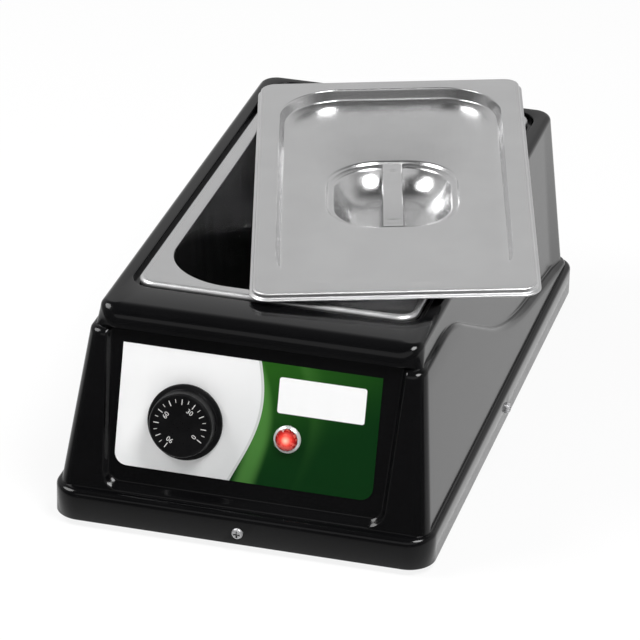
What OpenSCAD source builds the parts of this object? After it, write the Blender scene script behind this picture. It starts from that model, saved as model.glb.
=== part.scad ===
// Chocolate melting tank: formed plastic housing, one gastronorm pan with lid, sloping control panel.
// Millimetres, +Z up, table at Z = 0, X = 0 and Y = 0 at the middle of the base lip, front towards -Y.

/* [Base lip] */
// Width over the base lip
lip_w = 238.6; // [225:0.2:270]
// Length over the base lip
lip_l = 416.8; // [405:0.2:460]
// Plan corner radius of the lip
lip_r = 17; // [14:0.5:26]
// Height of the lip wall up to the ledge
lip_h = 20; // [17:0.5:28]
// Rounding along the top edge of the lip
lip_edge = 4; // [2:0.1:4.2]
// Wall thickness of the formed shell
wall = 3.5; // [2.5:0.1:4]

/* [Hood] */
// Height of the flat top above the table
hood_z = 133.7; // [128:0.1:150]
// Width over the top edge of the hood
hood_w = 202; // [198:0.2:206]
// Distance from lip back to hood back
hood_back = 6.4; // [5.5:0.1:8]
// Distance from lip front to the front of the rolled edge
hood_front = 33.9; // [32:0.1:35]
// Draft of the hood sides in degrees
hood_draft = 5.2; // [4:0.1:5.6]
// Rounding along the top edge at sides and back
hood_edge = 4; // [2:0.1:5]
// Radius of the rolled front edge
roll_r = 12.5; // [9:0.1:13.5]
// Plan corner radius at the front of the hood
hood_rf = 14; // [13.8:0.1:20]
// Plan corner radius at the back of the hood
hood_rb = 12; // [9:0.1:18]

/* [Lower block] */
// Lip standing proud of the side walls
low_step = 5; // [4.5:0.1:6]
// Lip standing proud of the back wall
low_back = 4.6; // [4.4:0.1:5]
// Lip standing proud of the front pillars
pillar_set = 6.7; // [5:0.1:8]
// Draft of the side walls in degrees
low_draft = 5.6; // [4.8:0.1:6.2]
// Plan corner radius of the pillars
low_rf = 9; // [7:0.1:11]
// Plan corner radius at the back
low_rb = 13; // [8:0.1:15]
// Top of the pillars below the flat top
shoulder_drop = 14.2; // [13:0.1:16]
// Rounding over the top of the pillars
shoulder_r = 4.5; // [3:0.1:5.5]
// Least height of the shoulder over the ledge at the back
shoulder_min = 4; // [3:0.1:6]
// Length of the level front part of the shoulder from the lip front
shoulder_flat = 60; // [50:1:70]
// Radius of the bend down
bend_down_r = 130; // [110:1:150]
// Slope of the falling line in degrees
fall_angle = 24.2; // [22:0.1:26]
// End of the falling line from the lip front
fall_end = 188; // [180:1:200]
// Radius of the bend to the back
bend_back_r = 406; // [380:1:430]
// Slope of the tail in degrees
tail_angle = 8; // [6:0.1:10]

/* [Control panel] */
// Lean of the panel from upright in degrees
panel_tilt = 15; // [13:0.1:16]
// Depth of the recess behind the pillars
recess_d = 5; // [3.5:0.1:6]
// Width of the recess at its top
recess_top = 189; // [184:0.2:190]
// Width of the recess at its bottom
recess_bot = 178; // [170:0.2:182]
// Corner radius at the bottom of the recess
recess_r = 11; // [7:0.1:14]
// Width of the rounded side of the recess
recess_ramp = 4.5; // [3:0.1:6]
// Label width
label_w = 162; // [150:0.5:164]
// Label height
label_h = 76; // [70:0.5:77]
// Label thickness
label_t = 0.4; // [0.2:0.05:0.6]
// Label middle above the ledge along the slope
label_s = 53; // [52:0.1:54]
// Label middle across the panel
label_x = -2; // [-4:0.1:0]
// Rounding of the bottom corners of the label
label_r = 8; // [4:0.5:12]

/* [Knob and thermostat] */
// Knob axis across the panel
knob_x = -40; // [-44:0.1:-36]
// Knob axis above the ledge along the slope
knob_s = 47.4; // [44:0.1:50]
// Knob skirt diameter
knob_d = 47; // [42:0.1:50]
// Knob cap diameter
cap_d = 41; // [36:0.1:41]
// Height of the cap face over the panel
cap_h = 14; // [12:0.1:18]
// Shaft diameter
shaft_d = 6; // [5:0.1:7]
// Running clearance between shaft and its bush, on radius
shaft_fit = 0.05; // [0.02:0.01:0.1]
// Thermostat body width
stat_w = 44; // [42:0.5:48]
// Thermostat body height
stat_h = 36; // [32:0.5:40]
// Thermostat body depth
stat_l = 28; // [24:0.5:32]
// Spacing of the two thermostat screws
stat_pitch = 28; // [24:0.5:30]

/* [Pilot lamp] */
// Lamp axis across the panel
lamp_x = 23.8; // [20:0.1:28]
// Lamp axis above the ledge along the slope
lamp_s = 45.6; // [40:0.1:50]
// Bezel diameter
bezel_d = 17; // [16:0.1:19]
// Lens diameter
lens_d = 12.6; // [11:0.1:13]
// Lamp body diameter behind the panel
lamp_d = 11; // [10:0.1:12]

/* [Pan] */
// Width over the pan flange
pan_w = 176; // [174:0.1:178]
// Length over the pan flange
pan_l = 325; // [320:0.1:328]
// Depth of the pan from the flange top
pan_depth = 100; // [90:1:104]
// Flange width from edge to opening
flange_w = 10.5; // [9:0.1:12]
// Pan flange standing over the housing top
pan_proud = 1.3; // [0.8:0.1:2]
// Turned-down edge of the flange
pan_edge = 3.6; // [3:0.1:4]
// Sheet thickness of pan and lid
sheet = 0.8; // [0.6:0.05:1]
// Gap from pan flange to the housing opening
pan_gap = 3.7; // [2.5:0.1:4.5]
// Middle of the pan behind the middle of the base
pan_y = 26.8; // [26:0.1:29]
// Wall draft of the pan in degrees
pan_draft = 3.5; // [2:0.1:4.5]
// Flange corner radius
flange_r = 12; // [9:0.5:16]
// Opening corner radius
open_r = 46; // [36:0.5:52]

/* [Lid] */
// Width over the lid
lid_w = 177; // [174:0.1:180]
// Length over the lid
lid_l = 329; // [322:0.1:332]
// Depth of the pressed lid panel
lid_panel_d = 9; // [6:0.1:10]
// Depth of the bowl below the panel
bowl_d = 17; // [12:0.5:20]
// Bowl width
bowl_w = 87; // [80:0.5:92]
// Bowl length
bowl_l = 102; // [96:0.5:108]
// Depth of the ledge round the bowl that carries the strap
rest_d = 2.3; // [1.5:0.1:3.5]
// Width of that ledge
rest_w = 2.6; // [2:0.1:4]
// Flat rim of the lid
lid_rim = 15; // [13:0.5:18]
// Turned-down edge of the lid
lid_edge = 4.8; // [4:0.1:6.5]
// Width of the strap handle
strap_w = 12.7; // [10:0.1:16]
// Thickness of the strap handle
strap_t = 1.5; // [1:0.1:2]
// Rise of the strap handle over its ends
strap_rise = 2; // [1:0.1:4]
// Turn of the lid as it lies, in degrees
lid_turn = 14.87; // [13:0.01:16]
// Lean of the lid across, in degrees
lid_roll = -2.74; // [-3:0.01:-2.5]
// Lean of the lid along, in degrees
lid_pitch = -0.13; // [-0.2:0.01:0]
// Lid middle across
lid_x = 30.8; // [28:0.1:33]
// Lid middle behind the pan middle
lid_y = 8; // [6:0.1:10]

/* [Inside] */
// Sheet thickness of the heating well
well_t = 1; // [0.8:0.1:1.2]
// Air gap from pan to well at the top
well_gap = 1.2; // [0.8:0.1:1.4]
// Height left under the pan
well_air = 5; // [3:0.5:8]
// Heater mat thickness
mat_t = 2; // [1.5:0.1:3]
// Bottom plate thickness
plate_t = 1.2; // [1:0.1:2]
// Gap from bottom plate to the lip wall
plate_gap = 0.5; // [0.3:0.1:1]
// Foot height down from the bottom plate
foot_h = 5; // [4.5:0.1:7]
// Foot diameter
foot_d = 24; // [18:0.5:28]
// Foot spacing across
foot_px = 190; // [170:1:194]
// Foot spacing along
foot_py = 350; // [320:1:364]
// Skirt screw head diameter
screw_head = 7; // [6:0.1:8.5]
// Skirt screw height above the lip bottom
screw_z = 8; // [6.5:0.1:10]
// Cable gland hole diameter
gland_d = 16.4; // [14:0.1:18]
// Cable gland across
gland_x = 60; // [40:1:70]
// Cable gland height above the table
gland_z = 46; // [42:0.5:60]
// Capillary bulb diameter
bulb_d = 6.5; // [5:0.1:7.5]
// Capillary bulb length
bulb_l = 90; // [70:1:110]

/* [Hidden] */
$fn = 48;
eps = 0.01;
fit = 0.05;
lip_z = foot_h - 1;
ledge = lip_z + lip_h;
lip_y = lip_l / 2;
low_x = lip_w / 2 - low_step;
front_y = -lip_y + hood_front;
back_y = lip_y - hood_back;
shoulder_z = hood_z - shoulder_drop;
wall_n = wall / cos(panel_tilt);
recess_n = recess_d / cos(panel_tilt);
panel_y = -lip_y + pillar_set + recess_n;
flange_z = hood_z + pan_proud;
rest_gap = 0.3;
well_z = flange_z - pan_edge - rest_gap;
seat_z = well_z - well_t;
pan_bx = pan_w / 2 - flange_w;
pan_by = pan_l / 2 - flange_w;
well_x = pan_bx + sheet + well_gap;
well_y = pan_by + sheet + well_gap;
well_r = open_r + sheet + well_gap;
seat_in = well_t + 0.6;
floor_z = flange_z - pan_depth - well_air;
plate_z = foot_h;
lid_up = max(lid_panel_d, lid_edge + 4.2) + 0.63;
plate_top = plate_z + plate_t;
screw_r = 1.9;
well_screw_r = 1.4;
hole_d = 4.4;
hole_gap = 0.4;
shaft_room = 4;
cord_d = 8;
steel = [0.75, 0.75, 0.76];
black = [0.06, 0.06, 0.065];

// Skin over rings of points, either closed on itself or capped at both ends.
function skin_faces(n, m, closed) = concat(
    [for (j = [0 : m - (closed ? 1 : 2)], i = [0 : n - 1], k = [0, 1])
        let (a = j * n, b = ((j + 1) % m) * n, p = (i + 1) % n)
        k == 0 ? [a + i, a + p, b + p] : [a + i, b + p, b + i]],
    closed ? [] : [[for (i = [n - 1 : -1 : 0]) i], [for (i = [0 : n - 1]) (m - 1) * n + i]]);

module skin(rings, closed = false) {
    pts = [for (r = rings, p = r) p];
    polyhedron(pts, skin_faces(len(rings[0]), len(rings), closed), convexity = 10);
}

// Rounded rectangle ring from half sizes, corner radius and height, with the middle at y.
function rr(hx, hy, r, z, y = 0, n = 6) =
    [for (c = [0 : 3], i = [0 : n])
        let (a = 90 * (c - 1) + 90 * i / n, sx = (c < 2) ? 1 : -1, sy = (c == 1 || c == 2) ? 1 : -1)
        [sx * (hx - r) + r * cos(a), y + sy * (hy - r) + r * sin(a), z]];

// Stations around the housing: straight sides and corners, each with a place along it.
front_t = [-0.95, -0.9, -0.875, -0.85, -0.825, -0.8, -0.4, 0, 0.4, 0.8, 0.825, 0.85, 0.875, 0.9, 0.95];
side_n = 16;
stations = concat(
    [for (t = front_t) [0, t]],
    [for (i = [0 : 8]) [1, i / 8]],
    [for (i = [1 : side_n]) [2, i / (side_n + 1)]],
    [for (i = [0 : 6]) [3, i / 6]],
    [[4, 0.5]],
    [for (i = [0 : 6]) [5, i / 6]],
    [for (i = [1 : side_n]) [6, i / (side_n + 1)]],
    [for (i = [0 : 8]) [7, i / 8]]);

function plan(hx, yf, yb, rf, rb, s) =
    let (k = s[0], t = s[1])
    k == 0 ? [t * (hx - rf), yf] :
    k == 1 ? [hx - rf + rf * sin(90 * t), yf + rf - rf * cos(90 * t)] :
    k == 2 ? [hx, yf + rf + t * (yb - rb - yf - rf)] :
    k == 3 ? [hx - rb + rb * cos(90 * t), yb - rb + rb * sin(90 * t)] :
    k == 4 ? [(1 - 2 * t) * (hx - rb), yb] :
    k == 5 ? [-hx + rb - rb * sin(90 * t), yb - rb + rb * cos(90 * t)] :
    k == 6 ? [-hx, yb - rb - t * (yb - rb - yf - rf)] :
             [-hx + rf - rf * cos(90 * t), yf + rf - rf * sin(90 * t)];

function turn(s) = let (k = s[0], t = s[1]) 45 * k - 90 + (k % 2 == 1 ? 90 * t - 45 : 0);
function inset(p, s, d) = [p[0] - d * cos(turn(s)), p[1] - d * sin(turn(s))];
function ease(t) = t <= 0 ? 0 : t >= 1 ? 1 : t * t * (3 - 2 * t);
function at_front(s) = s[0] == 0 ? 1 : s[0] == 1 ? ease(1 - s[1]) : s[0] == 7 ? ease(s[1]) : 0;
function at_back(s) = s[0] == 4 ? 1 : s[0] == 3 ? ease(s[1]) : s[0] == 5 ? ease(1 - s[1]) : 0;

// Height of the side shoulder along the housing: level, bend down, falling line, bend to the back, tail.
bend_y = -lip_y + shoulder_flat;
line_y = bend_y + bend_down_r * sin(fall_angle);
line_z = shoulder_z - bend_down_r * (1 - cos(fall_angle));
fall_y = -lip_y + fall_end;
fall_z = line_z - (fall_y - line_y) * tan(fall_angle);
tail_y = fall_y + bend_back_r * (sin(fall_angle) - sin(tail_angle));
tail_z = fall_z - bend_back_r * (cos(tail_angle) - cos(fall_angle));
function fall(y) =
    y < bend_y ? shoulder_z :
    y < line_y ? shoulder_z - bend_down_r + sqrt(pow(bend_down_r, 2) - pow(y - bend_y, 2)) :
    y < fall_y ? line_z - (y - line_y) * tan(fall_angle) :
    y < tail_y ? fall_z + bend_back_r * cos(fall_angle)
                 - sqrt(pow(bend_back_r, 2) - pow(bend_back_r * sin(fall_angle) - (y - fall_y), 2)) :
    tail_z - (y - tail_y) * tan(tail_angle);
function shoulder(s) =
    max(ledge + shoulder_min, fall(plan(low_x, -lip_y + pillar_set, lip_y - low_back, low_rf, low_rb, s)[1]));

// Lower block: half width by height, recess width by height, and the point of a station at a height.
function low_half(z) = low_x - (z - ledge) * tan(low_draft);
function hood_half(z) = hood_w / 2 + (hood_z - hood_edge - z) * tan(hood_draft);
function recess_half(z) =
    let (f = (z - ledge) / (shoulder_z - ledge), h = max(0, min(recess_r, ledge + 1 + recess_r - z)))
    (recess_bot + (recess_top - recess_bot) * f) / 2 - recess_r + sqrt(pow(recess_r, 2) - h * h);
function recess_at(s) = s[0] == 0 ? 1 - ease((abs(s[1]) - 0.8) / 0.1) : 0;
function low_pt(s, z) =
    let (yf = -lip_y + pillar_set + (z - ledge) * tan(panel_tilt),
         p = plan(low_half(z), yf, lip_y - low_back, low_rf, low_rb, s),
         a = abs(s[1]), r = recess_half(z), e = low_half(z) - low_rf,
         x = a <= 0.8 ? a / 0.8 * (r - recess_ramp) :
             a <= 0.9 ? r - recess_ramp + (a - 0.8) / 0.1 * recess_ramp :
             r + (a - 0.9) / 0.1 * (e - r))
    s[0] == 0 ? [sign(s[1]) * x, yf + recess_n * recess_at(s) * ease((z - ledge) / (1.5 * recess_d))] : p;

// Rounding at the top of the lower block, small in the recess and wide on the pillars.
shoulder_k = 0.88;
function round_r(s) =
    let (z = shoulder(s), side = shoulder_k * (low_half(z) - hood_half(z)),
         front = shoulder_r - (shoulder_r - 0.8) * recess_at(s), back = shoulder_k * (hood_back - low_back))
    min(0.6 * (z - ledge), side + (front - side) * at_front(s) + (back - side) * at_back(s));
function inner_drop(s) = min(shoulder_r, 0.6 * (shoulder(s) - ledge));
function edge_r(s) = hood_edge + (roll_r - hood_edge) * at_front(s);

function up(p, z) = [p[0], p[1], z];
function pan_plan(s, d, r) = plan(pan_bx + d, pan_y - pan_by - d, pan_y + pan_by + d, r, r, s);
function lip_plan(s) = plan(lip_w / 2, -lip_y, lip_y, lip_r, lip_r, s);
function hood_plan(s) = plan(hood_w / 2, front_y, back_y, hood_rf, hood_rb, s);

open_d = flange_w + pan_gap;
open_rr = flange_r + pan_gap;
edge_c = 0.8;
seat_d = sheet + well_gap + seat_in;
rings = concat(
    [[for (s = stations) up(pan_plan(s, seat_d, open_r + seat_d), seat_z)],
     [for (s = stations) up(pan_plan(s, open_d, open_rr), seat_z)],
     [for (s = stations) up(pan_plan(s, open_d, open_rr), hood_z - edge_c)],
     [for (s = stations) up(pan_plan(s, open_d + edge_c, open_rr + edge_c), hood_z)]],
    [for (a = [90 : -18 : 0]) [for (s = stations) let (r = edge_r(s))
        up(inset(hood_plan(s), s, r * (1 - cos(a))), hood_z - r * (1 - sin(a)))]],
    [[for (s = stations) let (z = shoulder(s)) up(inset(low_pt(s, z), s, round_r(s) / shoulder_k), z)]],
    [for (a = [90 : -22.5 : 0]) [for (s = stations) let (r = round_r(s), z = shoulder(s) - r * (1 - sin(a)))
        up(inset(low_pt(s, z), s, r * (1 - cos(a))), z)]],
    [for (f = [0.5, 0.15, 0.09, 0.05, 0.02, 0]) [for (s = stations)
        let (z = ledge + f * (shoulder(s) - round_r(s) - ledge)) up(low_pt(s, z), z)]],
    [for (a = [90 : -22.5 : 0]) [for (s = stations)
        up(inset(lip_plan(s), s, lip_edge * (1 - cos(a))), ledge - lip_edge * (1 - sin(a)))]],
    [[for (s = stations) up(lip_plan(s), lip_z)],
     [for (s = stations) up(inset(lip_plan(s), s, wall), lip_z)],
     [for (s = stations) up(inset(lip_plan(s), s, wall), ledge - lip_edge)],
     [for (s = stations) up(inset(low_pt(s, ledge), s, wall_n), ledge - wall)],
     [for (s = stations) let (z = ledge + 0.09 * (shoulder(s) - shoulder_r - ledge))
        up(inset(low_pt(s, z), s, wall_n), z)],
     [for (s = stations) let (z = shoulder(s) - inner_drop(s)) up(inset(low_pt(s, z), s, wall_n), z)],
     [for (s = stations) let (z = shoulder(s))
        up(inset(low_pt(s, z), s, round_r(s) / shoulder_k + wall_n), z - 0.7 * inner_drop(s))],
     [for (s = stations) up(inset(hood_plan(s), s, wall_n + 0.22 * (edge_r(s) - hood_edge)), seat_z - wall)],
     [for (s = stations) up(pan_plan(s, seat_d, open_r + seat_d), seat_z - wall)]]);

// Places on the sloping panel, on the back wall, on the lip and under the base.
module on_panel(x, s) {
    translate([0, panel_y, ledge]) rotate([90 - panel_tilt, 0, 0]) translate([x, s, 0]) children();
}
module on_back(x, z) {
    translate([x, back_y, z]) rotate([-90, 0, 0]) children();
}
module on_lip() {
    z = lip_z + screw_z;
    translate([0, -lip_y, z]) rotate([90, 0, 0]) children();
    translate([0, lip_y, z]) rotate([-90, 0, 0]) children();
    translate([-lip_w / 2, 0, z]) rotate([0, -90, 0]) children();
    translate([lip_w / 2, 0, z]) rotate([0, 90, 0]) children();
}
module at_feet() {
    for (x = [-1, 1], y = [-1, 1])
        translate([x * foot_px / 2, y * foot_py / 2, 0]) children();
}
module at_well_screws() {
    dx = pan_bx + sheet + (flange_w - 2 * sheet) * 0.58;
    for (x = [-1, 1], y = [-1, 0, 1])
        translate([x * dx, pan_y + y * pan_by * 0.68, well_z]) children();
}
module at_stat_screws() {
    for (x = [-1, 1])
        on_panel(knob_x + x * stat_pitch / 2, knob_s) children();
}

module housing() {
    color(black) difference() {
        skin(rings, true);
        on_panel(knob_x, knob_s) translate([0, 0, -2 * wall])
            cylinder(d = shaft_d + shaft_room, h = 3 * wall);
        on_panel(lamp_x, lamp_s) translate([0, 0, -2 * wall]) cylinder(d = lamp_d + hole_gap, h = 3 * wall);
        at_stat_screws() translate([0, 0, -2 * wall]) cylinder(d = hole_d, h = 3 * wall);
        on_back(gland_x, gland_z) translate([0, 0, -2 * wall]) cylinder(d = gland_d, h = 3 * wall);
        on_lip() translate([0, 0, -2 * wall]) cylinder(r = screw_r + rest_gap, h = 3 * wall);
        at_well_screws() translate([0, 0, -4 * wall]) cylinder(r = well_screw_r + fit, h = 5 * wall);
    }
}

plate_x = lip_w / 2 - wall - plate_gap;
plate_y = lip_y - wall - plate_gap;
plate_r = lip_r - wall - plate_gap;
tab_h = screw_z + 5;
tab_w = 22;

module rounded(w, l, r, h) {
    linear_extrude(h) {
        square([w - 2 * r, l], center = true);
        square([w, l - 2 * r], center = true);
        for (x = [-1, 1], y = [-1, 1]) translate([x * (w / 2 - r), y * (l / 2 - r)]) circle(r);
    }
}

module bottom_plate() {
    slot = [5, 40];
    color(steel) difference() {
        union() {
            translate([0, 0, plate_z]) rounded(2 * plate_x, 2 * plate_y, plate_r, plate_t);
            for (s = [-1, 1]) {
                translate([-tab_w / 2, s > 0 ? plate_y - plate_t : -plate_y, plate_z])
                    cube([tab_w, plate_t, tab_h]);
                translate([s > 0 ? plate_x - plate_t : -plate_x, -tab_w / 2, plate_z])
                    cube([plate_t, tab_w, tab_h]);
            }
        }
        on_lip() translate([0, 0, -4 * wall]) cylinder(r = screw_r + fit, h = 4 * wall);
        at_feet() translate([0, 0, plate_z - 1]) cylinder(d = hole_d, h = plate_t + 2);
        for (x = [-2.5 : 1 : 2.5], y = [-1, 1]) translate([x * 20, y * 0.26 * lip_l, plate_z - 1])
            linear_extrude(plate_t + 2) {
                square([slot[0], slot[1] - slot[0]], center = true);
                for (e = [-1, 1]) translate([0, e * (slot[1] - slot[0]) / 2]) circle(d = slot[0]);
            }
    }
}

foot_bore = 2.5;
module feet() {
    color([0.1, 0.1, 0.1]) at_feet() difference() {
        rotate_extrude()
            polygon([[0, 0], [foot_d / 2 - 2, 0], [foot_d / 2 - 1, 0.6], [foot_d / 2, foot_h], [0, foot_h]]);
        translate([0, 0, -1]) cylinder(d = 10, h = foot_bore + 1);
        cylinder(d = hole_d, h = foot_h + 1);
    }
}

module cross(d, h) {
    for (a = [0, 90]) rotate(a) translate([0, 0, h - 1.1]) cube([0.6 * d, 0.14 * d, 2.4], center = true);
}

module pan_head(d, h, r, l) {
    difference() {
        union() {
            rotate_extrude()
                polygon([[0, 0], [d / 2, 0], [d / 2, 0.35 * h], [0.43 * d, 0.75 * h], [0.28 * d, h], [0, h]]);
            translate([0, 0, -l]) cylinder(r = r, h = l + eps);
        }
        translate([0, 0, 1]) cross(d, h);
    }
}

nut_h = 3.2;
module foot_screws() {
    color(steel) at_feet() translate([0, 0, foot_bore]) mirror([0, 0, 1])
        pan_head(8, 2, 2, plate_top - foot_bore + nut_h + 1.5);
}

module foot_nuts() {
    color(steel) at_feet() translate([0, 0, plate_top]) difference() {
        cylinder(d = 8.1, h = nut_h, $fn = 6);
        translate([0, 0, -1]) cylinder(r = 2 + fit, h = nut_h + 2, $fn = 48);
    }
}

module skirt_screws() {
    color(steel) on_lip() pan_head(screw_head, 2.4, screw_r, wall + plate_gap + plate_t + 4);
}

// Well rings go up the inside, over the flange and down the outside.
well_flange = flange_w + pan_gap - well_gap - sheet - 1;
well_f = 10;
module heating_well() {
    in = [for (a = [0, 30, 60, 90]) rr(well_x - well_f * (1 - sin(a)), well_y - well_f * (1 - sin(a)),
        well_r - well_f * (1 - sin(a)), floor_z + well_f * (1 - cos(a)), pan_y)];
    out = [for (a = [90, 60, 30, 0]) let (d = well_t - well_f * (1 - sin(a)))
        rr(well_x + d, well_y + d, well_r + d, floor_z - well_t + well_f * (1 - cos(a)), pan_y)];
    color(steel) difference() {
        skin(concat(in,
            [rr(well_x, well_y, well_r, well_z - 0.6, pan_y),
             rr(well_x + 0.6, well_y + 0.6, well_r + 0.6, well_z, pan_y),
             rr(well_x + well_flange, well_y + well_flange, flange_r + pan_gap - 1, well_z, pan_y),
             rr(well_x + well_flange, well_y + well_flange, flange_r + pan_gap - 1, seat_z, pan_y),
             rr(well_x + well_t, well_y + well_t, well_r + well_t, seat_z, pan_y)], out));
        at_well_screws() translate([0, 0, -2]) cylinder(r = well_screw_r + 2 * fit, h = 4);
    }
}

module well_screws() {
    color(steel) at_well_screws() pan_head(4.8, 1.3, well_screw_r, well_t + wall + 2);
}

mat_w = 100;
mat_l = 200;
mat_back = 25;
module heater_mat() {
    color([0.75, 0.35, 0.15]) translate([0, pan_y - mat_back, floor_z - well_t - mat_t])
        rounded(mat_w, mat_l, 8, mat_t);
}

module thermal_cutout() {
    color([0.2, 0.2, 0.2]) translate([0, cutout_y, floor_z - well_t]) mirror([0, 0, 1]) {
        rounded(32, 14, 3, 1.2);
        cylinder(d = 16, h = 9);
        for (x = [-1, 1]) translate([x * cutout_x - tab[0] / 2, -tab[1] / 2, 8])
            cube([tab[0], tab[1], cutout_l - 8]);
    }
}

// Thermostat behind the panel; the shaft and knob turn together.
bush_l = 8;
stat_top = -wall - fit;
stat_back = stat_top - stat_l;
tab_x = 12;
tab_l = 8;
tab = [0.8, 6.3];
module thermostat_body() {
    color([0.85, 0.83, 0.78]) on_panel(knob_x, knob_s) difference() {
        union() {
            translate([-stat_w / 2, -stat_h / 2, stat_back]) cube([stat_w, stat_h, stat_l]);
            for (x = [-1, 1]) translate([x * tab_x - tab[0] / 2, -10, stat_back - tab_l])
                cube([tab[0], tab[1], tab_l + 1]);
        }
        translate([0, 0, stat_top - bush_l]) cylinder(r = shaft_d / 2 + shaft_fit, h = bush_l + 1);
        for (x = [-1, 1]) translate([x * stat_pitch / 2, 0, stat_top - 7]) cylinder(r = screw_r + fit, h = 8);
    }
}

module thermostat_screws() {
    color(steel) at_stat_screws() translate([0, 0, label_t]) pan_head(7, 2.2, screw_r, label_t + wall + 5);
}

flat_d = 1;
module thermostat_shaft() {
    color(steel) on_panel(knob_x, knob_s) difference() {
        translate([0, 0, stat_top - bush_l + 0.4]) cylinder(d = shaft_d, h = bush_l - stat_top + cap_h - 4.4);
        translate([shaft_d / 2 - flat_d, -5, 4]) cube([10, 10, cap_h]);
    }
}

knob_gap = 1;
skirt_t = 2.6;
module knob() {
    z0 = label_t + knob_gap;
    z1 = z0 + skirt_t;
    r = cap_d / 2;
    color(black) on_panel(knob_x, knob_s) difference() {
        rotate_extrude($fn = 96) difference() {
            polygon([[0, z0], [knob_d / 2 - 0.3, z0], [knob_d / 2, z0 + 0.4], [knob_d / 2, z1 - 1],
                     [knob_d / 2 - 0.5, z1 - 0.3], [knob_d / 2 - 1.2, z1], [r + 0.4, z1 + 0.4], [r, z1 + 1],
                     [r - 0.8, cap_h - 1.2], [r - 1.2, cap_h - 0.4], [r - 2, cap_h], [0, cap_h]]);
            translate([shaft_d / 2 + 3, z0 - 1]) square([r - shaft_d / 2 - 5.5, cap_h - z0 - 1.2]);
        }
        difference() {
            translate([0, 0, z0 - 1]) cylinder(r = shaft_d / 2 + 0.02, h = cap_h - z0 - 2.6);
            translate([shaft_d / 2 - flat_d + 0.02, -5, 4.02]) cube([10, 10, cap_h]);
        }
    }
}

// Bulb along the left side of the well, held by two clips.
bulb_x = -well_x - well_t - bulb_d / 2;
bulb_y = pan_y - bulb_l;
bulb_z = 70;
module thermostat_bulb() {
    color([0.72, 0.45, 0.25]) translate([bulb_x, bulb_y, bulb_z]) rotate([-90, 0, 0])
        cylinder(d = bulb_d, h = bulb_l);
}

clip_w = 10;
clip_t = 0.8;
clip_ear = 10;
module bulb_clip() {
    d = bulb_d + 2 * fit;
    o = d + 2 * clip_t;
    color(steel) for (k = [0.2, 0.75]) translate([bulb_x + bulb_d / 2, bulb_y + k * bulb_l, bulb_z])
        rotate([-90, 0, 0]) difference() {
            union() {
                translate([-bulb_d / 2, 0, 0]) cylinder(d = o, h = clip_w);
                translate([-bulb_d / 2, -o / 2, 0]) cube([bulb_d / 2, o, clip_w]);
                translate([-clip_t, -d / 2 - clip_ear, 0]) cube([clip_t, d + 2 * clip_ear, clip_w]);
            }
            translate([-bulb_d / 2, 0, -1]) cylinder(d = d, h = clip_w + 2);
            translate([-bulb_d / 2, -d / 2, -1]) cube([bulb_d, d, clip_w + 2]);
            translate([0, -o, -1]) cube([o, 2 * o, clip_w + 2]);
        }
}

// Round wire or tube through a list of points, with mitred bends.
function unit(v) = v / norm(v);
function tube_ring(p, i, r, n) =
    let (m = len(p) - 1, u = i > 0 ? unit(p[i] - p[i - 1]) : unit(p[1] - p[0]),
         v = i < m ? unit(p[i + 1] - p[i]) : u, d = unit(u + v), k = 1 / sqrt((1 + u * v) / 2),
         e = unit(cross(u, abs(u[2]) < 0.9 ? [0, 0, 1] : [1, 0, 0])), f = cross(u, e))
    [for (j = [0 : n - 1]) let (q = r * (cos(360 * j / n) * e - sin(360 * j / n) * f))
        p[i] + q - u * ((q * d) / (u * d))];
module run(p, r, n = 10) {
    skin([for (i = [0 : len(p) - 1]) tube_ring(p, i, r, n)]);
}

// Point on the panel frame in world terms.
function panel_pt(x, s, h) = [x, panel_y + s * sin(panel_tilt) - h * cos(panel_tilt),
                              ledge + s * cos(panel_tilt) + h * sin(panel_tilt)];

// The capillary leaves the thermostat, passes outside the corner of the well and ends in the bulb.
capillary_r = 1;
capillary_s = 10;
capillary_out = 9;
module capillary_tube() {
    s = knob_s + capillary_s;
    color([0.72, 0.45, 0.25]) run([panel_pt(knob_x, s, stat_back),
        panel_pt(knob_x, s, stat_back - capillary_out),
        [bulb_x, pan_y - well_y - well_t, bulb_z], [bulb_x, bulb_y, bulb_z]], capillary_r);
}

module control_label() {
    x0 = label_x - label_w / 2;
    s0 = label_s - label_h / 2;
    color([0.9, 0.92, 0.9]) on_panel(0, 0) difference() {
        linear_extrude(label_t) {
            translate([x0 + label_r, s0]) square([label_w - 2 * label_r, label_h]);
            translate([x0, s0 + label_r]) square([label_w, label_h - label_r]);
            for (x = [label_r, label_w - label_r]) translate([x0 + x, s0 + label_r]) circle(label_r);
        }
        translate([knob_x, knob_s, -1]) cylinder(d = shaft_d + shaft_room, h = 3);
        translate([lamp_x, lamp_s, -1]) cylinder(d = lamp_d + hole_gap, h = 3);
        for (x = [-1, 1]) translate([knob_x + x * stat_pitch / 2, knob_s, -1]) cylinder(d = hole_d, h = 3);
    }
}

bezel_h = 2.4;
lens_in = 1.2;
module pilot_lamp_bezel() {
    color(steel) on_panel(lamp_x, lamp_s) difference() {
        translate([0, 0, label_t]) rotate_extrude() polygon([[0, 0], [bezel_d / 2, 0], [bezel_d / 2, 0.8],
            [bezel_d / 2 - 0.5, 1.7], [bezel_d / 2 - 1.3, bezel_h], [0, bezel_h]]);
        translate([0, 0, label_t + lens_in]) cylinder(d = lens_d + 0.1, h = 9);
        cylinder(d = lamp_d - 2, h = 9, center = true);
    }
}

module pilot_lamp_lens() {
    r = 9;
    h = 2.6;
    color([0.8, 0.05, 0.05]) on_panel(lamp_x, lamp_s) translate([0, 0, label_t + lens_in]) {
        cylinder(d = lens_d, h = bezel_h - lens_in);
        translate([0, 0, bezel_h - lens_in]) intersection() {
            translate([0, 0, h - r]) sphere(r, $fn = 64);
            cylinder(d = lens_d, h = h);
        }
    }
}

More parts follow.
